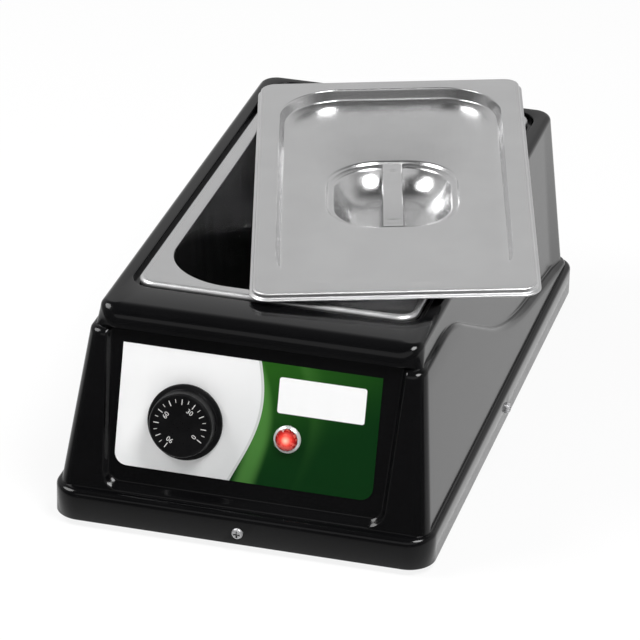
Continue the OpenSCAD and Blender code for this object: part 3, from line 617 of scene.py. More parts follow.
def zinc_plate():
    """Dull zinc plating, with shade painted dark into its slots and corners."""
    mat, t, bsdf = blank("zinc_screw")
    grain = noise(t, coords(t), 700.0, detail=6.0)
    # Painted shade: ambient occlusion turns the colour nearly black in the slots and corners
    painted_slot_shade = node(t, "ShaderNodeAmbientOcclusion", samples=8, only_local=True)
    set_in(painted_slot_shade, Distance=0.0012)
    tone = ramp(t, painted_slot_shade, "AO", [(0.45, (0.03, 0.03, 0.03)), (0.85, (0.55, 0.55, 0.56))])
    link(t, tone, "Color", bsdf, "Base Color")
    link(t, spread(t, grain, "Fac", 0.36, 0.50), "Result", bsdf, "Roughness")
    bump(t, bsdf, grain, strength=0.03, distance=0.0004)
    set_in(bsdf, Metallic=0.6)
    return mat


# Print on the label, from its lower left corner: a border that leans and swings once, and a bare white field
BORDER_X = 76.0
BORDER_LEAN = 0.10
BORDER_SWING = 9.0
BORDER_PHASE = -0.35
BARE_X = 126.0
BARE_S = 57.0
BARE_HALF_W = 25.5
BARE_HALF_H = 9.5
BARE_FADE = (1.7, 1.4)


def label_place(t):
    """Sockets with the place across the label and up it, in millimetres."""
    tc = node(t, "ShaderNodeTexCoord")
    sep = node(t, "ShaderNodeSeparateXYZ")
    link(t, tc, "Object", sep, "Vector")
    x = calc(t, "MULTIPLY_ADD", sep.outputs["X"], 1 / MM, -(LABEL_X - LABEL_W / 2))
    y = calc(t, "MULTIPLY_ADD", sep.outputs["Y"], 1 / MM, -PANEL_Y)
    z = calc(t, "MULTIPLY_ADD", sep.outputs["Z"], 1 / MM, -LEDGE)
    s = calc(t, "ADD", calc(t, "MULTIPLY", y, sin(PANEL_TILT)),
             calc(t, "MULTIPLY_ADD", z, cos(PANEL_TILT), -LABEL_S))
    return x, s


def label_border(t, x, s):
    """Socket with the distance to the right of the border between the fields."""
    wave = calc(t, "SINE", calc(t, "MULTIPLY_ADD", s, math.pi / LABEL_H, BORDER_PHASE))
    swing = calc(t, "MULTIPLY", wave, BORDER_SWING)
    return calc(t, "SUBTRACT", x, calc(t, "ADD", calc(t, "MULTIPLY_ADD", s, BORDER_LEAN, BORDER_X), swing))


def label_bare(t, x, s):
    """Socket that is 1 on the bare field, which has small rounded corners."""
    px = calc(t, "SUBTRACT", calc(t, "ABSOLUTE", calc(t, "SUBTRACT", x, BARE_X)), BARE_HALF_W)
    py = calc(t, "SUBTRACT", calc(t, "ABSOLUTE", calc(t, "SUBTRACT", s, BARE_S)), BARE_HALF_H)
    far = calc(t, "SQRT", calc(t, "ADD", calc(t, "POWER", calc(t, "MAXIMUM", px, 0.0), 2.0),
                               calc(t, "POWER", calc(t, "MAXIMUM", py, 0.0), 2.0)))
    return smooth(t, far, *BARE_FADE)


def label_print():
    """Printed label: pale field on the left, green field on the right, plain bands, no words."""
    mat, t, bsdf = blank("label_print")
    x, s = label_place(t)
    edge = label_border(t, x, s)
    pale = blend(t, smooth(t, calc(t, "ADD", x, calc(t, "MULTIPLY", s, -1.1)), -40.0, 95.0),
                 (0.97, 0.97, 0.97), (0.68, 0.69, 0.69))
    glow = smooth(t, calc(t, "ADD", calc(t, "MULTIPLY", x, -0.6), s), -55.0, 45.0)
    green = blend(t, glow, (0.0022, 0.030, 0.005), (0.022, 0.115, 0.010))
    band = calc(t, "SINE", calc(t, "MULTIPLY_ADD", edge, 0.17, calc(t, "MULTIPLY", s, 0.035)))
    soft = calc(t, "MULTIPLY", smooth(t, band, 0.1, 1.0), smooth(t, edge, 45.0, 0.0))
    green = blend(t, calc(t, "MULTIPLY", soft, 0.6), green, (0.10, 0.30, 0.06))
    field = blend(t, smooth(t, edge, -0.25, 0.25), pale, green)
    rim = calc(t, "MULTIPLY", smooth(t, edge, -1.9, -1.5), smooth(t, edge, -0.1, -0.5))
    field = blend(t, calc(t, "MULTIPLY", rim, 0.6), field, (0.45, 0.47, 0.46))
    field = blend(t, label_bare(t, x, s), field, (0.95, 0.95, 0.95))
    t.links.new(field, bsdf.inputs["Base Color"])
    grain = noise(t, coords(t), 900.0, detail=3.0)
    link(t, spread(t, grain, "Fac", 0.18, 0.26), "Result", bsdf, "Roughness")
    bump(t, bsdf, grain, strength=0.04, distance=0.0001)
    set_in(bsdf, IOR=1.45, Specular_IOR_Level=0.25)
    return mat


# Pilot lamp lens: the part inside the bezel, the wider skirt, and rings of facets as radius and height
LENS_D = 12.6
LENS_R = 7.0
LENS_IN = 1.2
LENS_SIDES = 16
LENS_CLEAR = 0.04
LENS_SKIRT = ((LENS_R, 0.08), (LENS_R - 0.1, 0.4))
LENS_FACETS = ((5.3, 2.55), (2.9, 3.4), (1.1, 3.7))


def lens_red():
    """Clear red moulding, its colour painted pale in the middle and darker towards the edge as if lit from
    within, glowing faintly in the middle, with painted glints.
    """
    mat, t, bsdf = blank("lens_red")
    at = coords(t)
    grain = noise(t, at, 500.0, detail=3.0)
    flat = node(t, "ShaderNodeVectorMath", operation="MULTIPLY")
    flat.inputs[1].default_value = (1.0, 1.0, 0.0)
    link(t, at, "Vector", flat, 0)
    far = node(t, "ShaderNodeVectorMath", operation="LENGTH")
    link(t, flat, "Vector", far, 0)
    away = spread(t, far, "Value", 0.0, 1.0, 0.0, LENS_R * MM)
    # Painted light: a pale pinkish centre that darkens to deep red at the edge
    body = ramp(t, away, "Result", [(0.05, (1.0, 0.42, 0.30)), (0.45, (0.80, 0.04, 0.03)),
                                    (0.75, (0.42, 0.008, 0.006)), (0.95, (0.12, 0.003, 0.003))])
    # Painted glints: cells here and there are lightened, as if prisms inside the moulding caught the light
    pick = node(t, "ShaderNodeSeparateColor")
    link(t, cells(t, at, 560.0), "Color", pick, "Color")
    painted_glint_share = calc(t, "MULTIPLY", spread(t, pick, "Red", 0.0, 0.45, 0.55, 1.0).outputs["Result"],
                 spread(t, away, "Result", 0.0, 1.0, 0.2, 0.5).outputs["Result"])
    painted_glint_colour = blend(t, painted_glint_share, body.outputs["Color"], (1.0, 0.20, 0.15))
    t.links.new(painted_glint_colour, bsdf.inputs["Base Color"])
    glow = ramp(t, away, "Result", [(0.0, (1.0, 0.55, 0.42)), (0.4, (0.5, 0.06, 0.04)),
                                    (0.8, (0.08, 0.0, 0.0))])
    link(t, glow, "Color", bsdf, "Emission Color")
    link(t, spread(t, grain, "Fac", 0.04, 0.10), "Result", bsdf, "Roughness")
    set_in(bsdf, IOR=1.49, Coat_Weight=0.6, Coat_Roughness=0.04, Emission_Strength=0.5)
    return mat


SHELL = shell_plastic()
LID_STEEL = satin_steel("lid_steel", (0.67, 0.67, 0.673), (0.215, 0.25), 95.0, (9.0, 0.5, 1.0),
                        (LID_W / 2, LID_L / 2, 0.0, HEM_IN + HEM_R))
PAN_STEEL = satin_steel("pan_steel", (0.66, 0.66, 0.665), (0.16, 0.24), 90.0, (1.0, 1.0, 0.25),
                        (PAN_W / 2, PAN_L / 2, PAN_Y, PAN_ROLL_W))
WELL_STEEL = satin_steel("well_steel", (0.58, 0.58, 0.58), (0.26, 0.42), 80.0, (1.0, 1.0, 0.3))
LABEL = label_print()
KNOB = plain("knob_black", (0.003, 0.003, 0.0035), (0.006, 0.006, 0.0065), (0.26, 0.38), 900.0, 0.06,
             IOR=1.27)
CHROME = plain("chrome", (0.86, 0.86, 0.86), (0.92, 0.92, 0.92), (0.16, 0.26), 300.0, 0.02, metal=0.5)
LENS = lens_red()
INK = plain("dial_ink", (0.62, 0.62, 0.61), (0.74, 0.74, 0.73), (0.45, 0.60), 1500.0, 0.05)
SCREW = zinc_plate()
PLATE = plain("plate_steel", (0.40, 0.41, 0.42), (0.52, 0.53, 0.54), (0.32, 0.50), 160.0, 0.06, metal=1.0)
RUBBER = plain("foot_rubber", (0.010, 0.010, 0.011), (0.022, 0.022, 0.022), (0.62, 0.85), 600.0, 0.20)
WHITE = plain("lamp_white", (0.66, 0.66, 0.63), (0.74, 0.74, 0.71), (0.35, 0.50), 500.0, 0.05)
CREAM = plain("stat_cream", (0.58, 0.54, 0.44), (0.68, 0.64, 0.54), (0.40, 0.58), 400.0, 0.08)
COPPER = plain("copper", (0.48, 0.19, 0.08), (0.66, 0.30, 0.14), (0.24, 0.42), 250.0, 0.05, metal=1.0)
SILICONE = plain("silicone_mat", (0.42, 0.13, 0.045), (0.52, 0.19, 0.07), (0.55, 0.72), 700.0, 0.25)
CUTOUT = plain("cutout_black", (0.014, 0.014, 0.014), (0.028, 0.028, 0.028), (0.38, 0.55), 500.0, 0.08)
GLAND = plain("gland_black", (0.012, 0.012, 0.013), (0.024, 0.024, 0.025), (0.34, 0.52), 500.0, 0.10)
WIRE = plain("wire_red", (0.30, 0.025, 0.018), (0.42, 0.05, 0.035), (0.35, 0.50), 600.0, 0.06)

# Finishes of the solids that stay in the scene
FINISHES = (
    (PLATE, ("bottom_plate", "bulb_clip")),
    (SCREW, ("foot_screws", "foot_nuts", "skirt_screws", "well_screws", "thermostat_screws",
             "thermostat_shaft", "pilot_lamp_nut", "earth_stud")),
    (RUBBER, ("feet",)),
    (SILICONE, ("heater_mat",)),
    (CUTOUT, ("thermal_cutout",)),
    (CREAM, ("thermostat_body",)),
    (COPPER, ("thermostat_bulb", "capillary_tube")),
    (KNOB, ("knob",)),
    (LABEL, ("control_label",)),
    (CHROME, ("pilot_lamp_bezel",)),
    (WHITE, ("pilot_lamp_body", "terminal_block")),
    (GLAND, ("cable_gland", "gland_nut")),
    (WIRE, ("internal_wiring",)),
)
for finish, names in FINISHES:
    for name in names:
        for material_slot in nodes[name].material_slots:
            material_slot.material = finish


# Housing: shares of half its front, with a flat, then recess corner, ramp and pillar in a strip each
FLAT_END = 0.7
CORNER_END = 0.8
RAMP_END = 0.9
STRIP = 0.1
PILLAR_SHARES = [0.915, 0.935, 0.96, 0.98]
BACK_SHARES = [0.2, 0.35, 0.5, 0.65, 0.8]
SIDE_STEPS = 97

# Largest rounding as a share of the wall's height, and largest reach of a soft corner as a share of its line
ROUND_SHARE = 0.6
REACH_SHARE = 0.9

# Rings on the wall as shares of its height, closer together at the foot, where the recess ends
WALL_ROWS = [0.85, 0.7, 0.55, 0.42, 0.32, 0.25, 0.2, 0.165, 0.145]
WALL_ROWS += [0.011 + 0.121 * (1 - cos(a)) for a in span(90, 6, 20)]

# Rings inside: lowest one as a share of the height, step under the shoulder, and room under the front roll
INNER_FOOT = 0.09
INNER_STEP = 0.7
INNER_ROLL = 0.22


def plan(hx, yf, yb, rf, rb, s):
    """Point of a rounded rectangle at a station."""
    k, t = s
    if k == 0:
        return (t * (hx - rf), yf)
    if k == 1:
        return (hx - rf + rf * sin(90 * t), yf + rf - rf * cos(90 * t))
    if k == 2:
        return (hx, yf + rf + t * (yb - rb - yf - rf))
    if k == 3:
        return (hx - rb + rb * cos(90 * t), yb - rb + rb * sin(90 * t))
    if k == 4:
        return ((1 - 2 * t) * (hx - rb), yb)
    if k == 5:
        return (-hx + rb - rb * sin(90 * t), yb - rb + rb * cos(90 * t))
    if k == 6:
        return (-hx, yb - rb - t * (yb - rb - yf - rf))
    return (-hx + rf - rf * cos(90 * t), yf + rf - rf * sin(90 * t))


def inset(p, s, d):
    """Point moved inwards by d at a station."""
    k, t = s
    facing = 45 * k - 90 + (90 * t - 45 if k % 2 else 0)
    return (p[0] - d * cos(facing), p[1] - d * sin(facing))


def at_front(s):
    """Share of the front in a station, which fades round the front corners."""
    return {0: 1.0, 1: ease(1 - s[1]), 7: ease(s[1])}.get(s[0], 0.0)


def at_back(s):
    """Share of the back in a station, which fades round the back corners."""
    return {4: 1.0, 3: ease(s[1]), 5: ease(1 - s[1])}.get(s[0], 0.0)


def fall(y):
    """Height of the shoulder's line along the side."""
    if y < BEND_Y:
        return SHOULDER_Z
    if y < LINE_Y:
        return SHOULDER_Z - BEND_DOWN_R + math.sqrt(BEND_DOWN_R ** 2 - (y - BEND_Y) ** 2)
    if y < FALL_Y:
        return LINE_Z - (y - LINE_Y) * tan(FALL_ANGLE)
    if y < TAIL_Y:
        return (FALL_Z + BEND_BACK_R * cos(FALL_ANGLE)
                - math.sqrt(BEND_BACK_R ** 2 - (BEND_BACK_R * sin(FALL_ANGLE) - (y - FALL_Y)) ** 2))
    return TAIL_Z - (y - TAIL_Y) * tan(TAIL_ANGLE)


def shoulder(s):
    y = plan(LOW_X, -LIP_Y + PILLAR_SET, LIP_Y - LOW_BACK, LOW_RF, LOW_RB, s)[1]
    return max(LEDGE + SHOULDER_MIN, fall(y))


def low_half(z):
    """Half width of the lower block at a height."""
    return LOW_X - (z - LEDGE) * tan(LOW_DRAFT)


def hood_half(z):
    """Half width of the hood at a height."""
    return HOOD_W / 2 + (HOOD_Z - HOOD_EDGE - z) * tan(HOOD_DRAFT)


def recess_half(z):
    """Half width of the recess at a height."""
    f = (z - LEDGE) / (SHOULDER_Z - LEDGE)
    return (RECESS_BOT + (RECESS_TOP - RECESS_BOT) * f) / 2


def recess_depth(x, z):
    """Depth of the recess, which ramps down all round inside its rounded lower corners."""
    side, low = recess_half(z) - x, z - LEDGE - RECESS_UP
    inside = min(side, low)
    if side < RECESS_R and low < RECESS_R:
        inside = RECESS_R - math.hypot(RECESS_R - side, RECESS_R - low)
    return RECESS_N * ease(inside / RECESS_RAMP)


def recess_at(s):
    """Share of the recess in a station."""
    return 1 - ease((abs(s[1]) - CORNER_END) / STRIP) if s[0] == 0 else 0.0


def low_point(s, z):
    """Point on the lower block's wall, with the recess in its front."""
    yf = -LIP_Y + PILLAR_SET + (z - LEDGE) * tan(PANEL_TILT)
    if s[0] != 0:
        return plan(low_half(z), yf, LIP_Y - LOW_BACK, LOW_RF, LOW_RB, s)
    a, edge, end = abs(s[1]), recess_half(z), low_half(z) - LOW_RF
    inner = edge - RECESS_RAMP - RECESS_R
    if a <= FLAT_END:
        x = a / FLAT_END * inner
    elif a <= CORNER_END:
        x = inner + (a - FLAT_END) / STRIP * RECESS_R
    elif a <= RAMP_END:
        x = edge - RECESS_RAMP + (a - CORNER_END) / STRIP * RECESS_RAMP
    else:
        x = edge + (a - RAMP_END) / STRIP * (end - edge)
    return (math.copysign(x, s[1]), yf + recess_depth(x, z))


def round_r(s):
    """Rounding along the outer edge of the shoulder."""
    z = shoulder(s)
    side = SHOULDER_K * (low_half(z) - hood_half(z))
    front = SHOULDER_R - (SHOULDER_R - PANEL_TOP_R) * recess_at(s)
    back = SHOULDER_K * (HOOD_BACK - LOW_BACK)
    return min(ROUND_SHARE * (z - LEDGE), side + (front - side) * at_front(s) + (back - side) * at_back(s))


def edge_r(s):
    """Rounding along the top edge of the hood."""
    return HOOD_EDGE + (HOOD_ROLL_R - HOOD_EDGE) * at_front(s)


def pan_plan(s, d, r):
    return plan(PAN_BX + d, PAN_Y - PAN_BY - d, PAN_Y + PAN_BY + d, r, r, s)


def lip_plan(s):
    return plan(LIP_W / 2, -LIP_Y, LIP_Y, LIP_R, LIP_R, s)


def hood_plan(s):
    return plan(HOOD_W / 2, FRONT_Y, BACK_Y, HOOD_RF, HOOD_RB, s)


def fillet(p, corner, q, reach_p, reach_q, n=5, tiny=1e-6):
    """Soft inner corner between the lines corner to p and corner to q."""
    p, corner, q = Vector(p), Vector(corner), Vector(q)
    a = corner + (p - corner) * min(REACH_SHARE, reach_p / max((p - corner).length, tiny))
    b = corner + (q - corner) * min(REACH_SHARE, reach_q / max((q - corner).length, tiny))
    return [tuple((1 - t) ** 2 * a + 2 * t * (1 - t) * corner + t * t * b) for t in span(0, 1, n)]


def opening_points(s):
    """Points from the pan seat up to the rounded edge of the opening."""
    col = [(*pan_plan(s, SEAT_OUT, OPEN_R + SEAT_OUT), SEAT_Z), (*pan_plan(s, HOLE_OUT, HOLE_R), SEAT_Z)]
    for d, drop in quarter(HOLE_EDGE, HOLE_EDGE, 4, 0, 90):
        col.append((*pan_plan(s, HOLE_OUT + d, HOLE_R + d), HOOD_Z - drop))
    return col


def outside_points(s):
    """Points from the hood's top over the shoulder, down the wall and over the lip."""
    front, r, z, rs = at_front(s), edge_r(s), shoulder(s), round_r(s)
    hood = [(*inset(hood_plan(s), s, d), HOOD_Z - drop) for d, drop in quarter(r, r, 14)]
    crease = (*inset(low_point(s, z), s, rs / SHOULDER_K), z)
    top = [(*inset(low_point(s, z - drop), s, d), z - drop) for d, drop in quarter(rs, rs, 9)]
    soft = fillet(hood[-1], crease, top[0], CREASE_UP + FRONT_CREASE_UP * front,
                  CREASE_OUT + FRONT_CREASE_OUT * front)
    wall = []
    for share in WALL_ROWS:
        zf = LEDGE + share * (z - rs - LEDGE)
        wall.append((*low_point(s, zf), zf))
    foot = (*low_point(s, LEDGE), LEDGE)
    wide, tall = LIP_ROUND_W + FRONT_ROUND_W * front, LIP_ROUND_H + FRONT_ROUND_H * front
    lip = [(*inset(lip_plan(s), s, d), LEDGE - drop) for d, drop in quarter(wide, tall, 9)]
    return hood + soft + top + wall + fillet(wall[-1], foot, lip[0], FOOT_REACH, FOOT_REACH) + lip


def inside_points(s):
    """Points from the lip's bottom up along the inside to the underside of the seat."""
    z, rs = shoulder(s), round_r(s)
    drop = min(SHOULDER_R, ROUND_SHARE * (z - LEDGE))
    low = LEDGE + INNER_FOOT * (z - SHOULDER_R - LEDGE)
    high = z - drop
    return [(*lip_plan(s), LIP_Z + LIP_CHAMFER),
            (*inset(lip_plan(s), s, LIP_CHAMFER), LIP_Z),
            (*inset(lip_plan(s), s, WALL), LIP_Z),
            (*inset(lip_plan(s), s, WALL), LEDGE - LIP_INNER_DROP),
            (*inset(low_point(s, LEDGE), s, WALL_N), LEDGE - WALL),
            (*inset(low_point(s, low), s, WALL_N), low),
            (*inset(low_point(s, high), s, WALL_N), high),
            (*inset(low_point(s, z), s, rs / SHOULDER_K + WALL_N), z - INNER_STEP * drop),
            (*inset(hood_plan(s), s, WALL_N + INNER_ROLL * (edge_r(s) - HOOD_EDGE)), SEAT_Z - WALL),
            (*pan_plan(s, SEAT_OUT, OPEN_R + SEAT_OUT), SEAT_Z - WALL)]


def stations():
    """Stations once round the plan from the left end of the front.

    Each is the number of a side or corner and the share along it, which runs from -1 to 1 on the front.
    """
    half = span(0.0, FLAT_END, 6) + span(FLAT_END, CORNER_END, 10)[1:] + span(CORNER_END, RAMP_END, 12)[1:]
    half += PILLAR_SHARES
    front = [-t for t in reversed(half[1:])] + half
    front_corner, back_corner = span(0, 1, 20), span(0, 1, 16)
    side = [i / SIDE_STEPS for i in range(1, SIDE_STEPS)]
    shares = (front, front_corner, side, back_corner, BACK_SHARES, back_corner, side, front_corner)
    return [(k, t) for k, along in enumerate(shares) for t in along]


def well_screw_places():
    """Places of the screws through the well's flange, in metres."""
    x = PAN_BX + SHEET + (FLANGE_W - 2 * SHEET) * WELL_SCREW_OUT
    y = PAN_BY * WELL_SCREW_ALONG
    return [Matrix.Translation(Vector((i * x, PAN_Y + j * y, WELL_Z)) * MM)
            for i in (-1, 1) for j in (-1, 0, 1)]


def make_housing():
    cols = [opening_points(s) + outside_points(s) + inside_points(s) for s in stations()]
    rings = [[c[j] for c in cols] for j in range(len(cols[0]))]
    obj = solid("shell_body", *skin(rings, True), "base", "shell", SHELL, sharp=50.0)
    rods = [cutter(on_panel(KNOB_X, KNOB_S), SHAFT_D / 2 + SHAFT_ROOM),
            cutter(on_panel(LAMP_X, LAMP_S), LAMP_D / 2 + LAMP_ROOM)]
    for x in (KNOB_X - STAT_PITCH / 2, KNOB_X + STAT_PITCH / 2):
        rods.append(cutter(on_panel(x, KNOB_S), STAT_SCREW_R))
    rods.append(cutter(turned(GLAND_X, BACK_Y, GLAND_Z, -90, "X"), GLAND_D / 2))
    for x, y, angle, axis in ((0, -LIP_Y, 90, "X"), (0, LIP_Y, -90, "X"),
                              (-LIP_W / 2, 0, -90, "Y"), (LIP_W / 2, 0, 90, "Y")):
        rods.append(cutter(turned(x, y, LIP_Z + LIP_SCREW_UP, angle, axis), LIP_SCREW_R))
    rods += [cutter(place, SEAT_HOLE_R, low=-4 * WALL) for place in well_screw_places()]
    cut_holes(obj, rods)
    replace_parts(obj, "housing")


make_housing()


# Heating well under the pan
def make_well():
    rings = []
    for rise, inwards in quarter(WELL_FLOOR_R, WELL_FLOOR_R, 8, 0, 90):
        rings.append(grown_ring(WELL_PLAN, -inwards, FLOOR_Z + rise, PAN_Y))
    for d, drop in quarter(WELL_EDGE, WELL_EDGE, 4, 0, 90):
        rings.append(grown_ring(WELL_PLAN, d, WELL_Z - drop, PAN_Y))
    rings += [grown_ring(PAN_RIM, -WELL_INSET, WELL_Z, PAN_Y),
              grown_ring(PAN_RIM, -WELL_INSET, SEAT_Z, PAN_Y),
              grown_ring(WELL_PLAN, WELL_T, SEAT_Z, PAN_Y)]
    for rise, inwards in quarter(WELL_FLOOR_R, WELL_FLOOR_R, 8):
        rings.append(grown_ring(WELL_PLAN, WELL_T - inwards, FLOOR_Z - WELL_T + rise, PAN_Y))
    obj = solid("well_tray", *skin(rings), "base", "well_steel", WELL_STEEL)
    cut_holes(obj, [cutter(place, WELL_HOLE_R, -2 * WELL_T, 2 * WELL_T) for place in well_screw_places()])
    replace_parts(obj, "heating_well")


make_well()

# Underside of the bend at the pan's mouth: distance out, growth of the corner radius, and drop
MOUTH_UNDER = ((2.6, 2.0, SHEET), (1.3, 1.3, 1.3), (SHEET, SHEET, 2.6))


# Pan: drawn steel with a rolled flange edge
def make_pan():
    bottom = FLANGE_Z - PAN_DEPTH
    shrink = (PAN_DEPTH - SHEET) * tan(PAN_DRAFT)
    steep = 90 - PAN_DRAFT
    rings = []
    for rise, inwards in quarter(PAN_FLOOR_R, PAN_FLOOR_R, 10, 0, steep):
        rings.append(grown_ring(PAN_MOUTH, -shrink - inwards, bottom + SHEET + rise, PAN_Y))
    for d, drop in quarter(PAN_MOUTH_R, PAN_MOUTH_R, 8, 0, 90):
        rings.append(grown_ring(PAN_MOUTH, d, FLANGE_Z - drop, PAN_Y))
    roll = quarter(PAN_ROLL_W, PAN_ROLL_H, 12) + [(0.0, PAN_EDGE), (SHEET, PAN_EDGE)]
    for d, drop in quarter(PAN_ROLL_W - SHEET, PAN_ROLL_H - SHEET, 6, 0, 90):
        roll.append((SHEET + d, SHEET + drop))
    rings += [grown_ring(PAN_RIM, -d, FLANGE_Z - drop, PAN_Y) for d, drop in roll]
    for d, more, drop in MOUTH_UNDER:
        rings.append(rounded_ring(PAN_BX + d, PAN_BY + d, OPEN_R + more, FLANGE_Z - drop, PAN_Y))
    for rise, inwards in quarter(PAN_FLOOR_R, PAN_FLOOR_R, 10, steep, 0):
        rings.append(grown_ring(PAN_MOUTH, SHEET - shrink - inwards, bottom + rise, PAN_Y))
    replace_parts(solid("pan_drawn", *skin(rings), "pan", "pan_steel", PAN_STEEL), "pan")


make_pan()


# Lid, drawn level with its rim top at zero and laid down; profiles are inset and depth, from the inside out
LAY = (Matrix.Translation(Vector(LID_AT) * MM) @ Matrix.Rotation(rad(LID_TURN), 4, "Z")
       @ Matrix.Rotation(rad(LID_ROLL), 4, "Y") @ Matrix.Rotation(rad(LID_PITCH), 4, "X"))


def under_side(line):
    """Profile moved to the underside of the sheet."""
    out = []
    for i, (d, z) in enumerate(line):
        a, b = line[max(i - 1, 0)], line[min(i + 1, len(line) - 1)]
        across, rise = a[0] - b[0], a[1] - b[1]
        k = SHEET / math.hypot(across, rise)
        out.append((d - k * rise, z + k * across))
    return out


def bowl_profile():
    """Bowl from its floor over the ledge to the pressed panel, which is at depth zero."""
    inner, outer, deep = REST_IN + REST_W, REST_IN, BOWL_D - REST_D
    return curve_through([
        (inner + 19.6, BOWL_D), (inner + 12.0, REST_D + 0.86 * deep), (inner + 6.4, REST_D + 0.58 * deep),
        (inner + 2.7, REST_D + 0.28 * deep), (inner + 0.7, REST_D + 0.9), (inner - 0.3, REST_D + 0.1),
        (inner - 1.2, REST_D), (outer + 0.4, REST_D), (outer - 0.9, REST_D - 0.6), (outer - 1.9, 0.5),
        (-0.6, 0)])


def press_profile():
    """Wall of the press from the panel up to the rim."""
    p = LID_PANEL_D
    return curve_through([(11.2, p), (7.8, p - 0.25), (5.1, p - 0.9), (3.5, p - 1.65), (2.75, p - 2.25),
                          (2.1, 5.2), (1.2, 2.7), (0.4, 0.55), (-0.05, 0.1), (-0.6, 0)])


def hem_profile():
    """Rounded edge of the rim and the flared bead under it."""
    bead = curve_through([(HEM_IN, 1.5), (HEM_IN + 0.15, 2.1), (HEM_IN, 2.65), (1.3, 3.1), (0.55, 3.45),
                          (0.12, 3.8), (0.0, 4.2), (0.15, 4.55), (0.6, LID_EDGE)])
    return [(HEM_IN + d, drop) for d, drop in quarter(HEM_R, HEM_R, 8)] + bead


def make_lid():
    bowl, press = bowl_profile(), press_profile()
    inner_hem = [(1.6, LID_EDGE), (HEM_IN + 0.9, 3.6), (HEM_IN + 0.95, 2.2), (HEM_IN + HEM_R + 0.4, SHEET)]
    parts = ((BOWL_PLAN, -LID_PANEL_D, bowl), (PRESS_PLAN, 0, press), (LID_PLAN, 0, hem_profile()),
             (LID_PLAN, 0, inner_hem), (PRESS_PLAN, 0, under_side(press)[::-1]),
             (BOWL_PLAN, -LID_PANEL_D, under_side(bowl)[::-1]))
    rings = [grown_ring(sizes, -d, level - z) for sizes, level, line in parts for d, z in line]
    obj = solid("lid_pressing", *skin(rings), "lid", "lid_steel", LID_STEEL, sharp=60.0, place=LAY)
    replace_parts(obj, "lid")


make_lid()

# Weld marks on the strap: depth, place and half width across, place and half length along, and bow
WELD_MARKS = ((0.6, 0.8, 2.4, 36.0, 1.5, 0.0), (0.25, 0.0, 3.6, -40.0, 0.8, 0.04))


def weld_mark(x, y):
    """Depth of the weld marks at a point of the strap."""
    return sum(deep * math.exp(-((x - at_x) / half_x) ** 2 - ((y - at_y - bow * x * x) / half_y) ** 2)
               for deep, at_x, half_x, at_y, half_y, bow in WELD_MARKS)


def sheet_faces(n, m):
    """Faces of a closed strip with a top and a bottom of m rows of n points."""
    faces = []
    for j in range(m - 1):
        for i in range(n - 1):
            a = j * n + i
            faces += [(a, a + 1, a + n + 1, a + n), tuple(k + n * m for k in (a, a + n, a + n + 1, a + 1))]
        for i in (0, n - 1):
            a = j * n + i
            faces.append((a, a + n, a + n + n * m, a + n * m))
    for j in (0, m - 1):
        for i in range(n - 1):
            a = j * n + i
            faces.append((a, a + 1, a + 1 + n * m, a + n * m))
    return faces


def make_strap():
    """Arched strip with rounded edges and pressed weld marks at its ends."""
    r, arch = STRAP_T / 2, BOWL_Y - REST_IN - REST_W
    end, base = BOWL_Y - REST_IN - REST_GAP, -LID_PANEL_D - REST_D
    side = [0.0] + [r * (1 - cos(a)) for a in span(30, 90, 3)]
    across = side + span(side[-1], STRAP_W - side[-1], 10)[1:-1] + [STRAP_W - a for a in reversed(side)]
    along = span(-end, -arch, 6)[:-1] + span(-arch, arch, 80) + span(arch, end, 6)[1:]
    top, low = [], []
    for y in along:
        z = base + (STRAP_RISE * cos(90 * y / arch) if abs(y) < arch else 0.0)
        for a in across:
            x = a - STRAP_W / 2
            from_edge = min(a, STRAP_W - a)
            curve = r - math.sqrt(max(0.0, r * r - max(0.0, r - from_edge) ** 2))
            top.append((x, y, z + STRAP_T - curve - weld_mark(x, y)))
            low.append((x, y, z + curve))
    faces = sheet_faces(len(across), len(along))
    obj = solid("lid_strap", top + low, faces, "lid", "lid_steel", LID_STEEL, sharp=55.0, place=LAY)
    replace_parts(obj, "lid_handle")


make_strap()

# Dial marks on the knob's face: ticks from 0 to 90, each an inner radius and a width, and plain numbers
DIAL_START = -31
DIAL_TURN = 3
TICK_UNITS = 5
TICKS = 19
TICK_OUT = 16.6
LONG_TICK = (13.2, 0.5)
SHORT_TICK = (14.4, 0.36)
INK_T = 0.06
INK_CLEAR = 0.01
NUMBERS = (0, 30, 60, 90)
NUMBER_SIZE = 4.3
NUMBER_R = 10.6


def make_ticks():
    verts, faces = [], []
    for i in range(TICKS):
        start, width = SHORT_TICK if i % 2 else LONG_TICK
        angle = DIAL_START + DIAL_TURN * TICK_UNITS * i
        u, v = (cos(angle), sin(angle)), (-sin(angle), cos(angle))
        k, half = len(verts), width / 2
        for z in (0.0, INK_T):
            for r, w in ((start, -half), (TICK_OUT, -half), (TICK_OUT, half), (start, half)):
                verts.append((r * u[0] + w * v[0], r * u[1] + w * v[1], z))
        faces += [tuple(k + corner for corner in face) for face in ring_faces(4, 2)]
    solid("dial_ticks", verts, faces, "knob", "knob_black", INK,
          place=on_panel(KNOB_X, KNOB_S, CAP_H + INK_CLEAR))


def make_number(value):
    text = bpy.data.curves.new("dial_number", "FONT")
    text.body = str(value)
    text.size = NUMBER_SIZE * MM
    text.align_x, text.align_y = "CENTER", "CENTER"
    text.extrude = INK_T / 2 * MM
    text.resolution_u = 3
    made = add_object("dial_number", text)
    mesh = made_mesh(made)
    bpy.data.objects.remove(made)
    mesh.materials.clear()
    mesh.materials.append(INK)
    number = add_object(f"dial_{value}", mesh)
    number.matrix_world = (on_panel(KNOB_X, KNOB_S, CAP_H + INK_CLEAR + INK_T / 2)
                           @ Matrix.Rotation(rad(DIAL_START + DIAL_TURN * value), 4, "Z")
                           @ Matrix.Translation((NUMBER_R * MM, 0, 0)) @ Matrix.Rotation(rad(-90), 4, "Z"))
    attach(number, "knob")


make_ticks()
for dial_value in NUMBERS:
    make_number(dial_value)


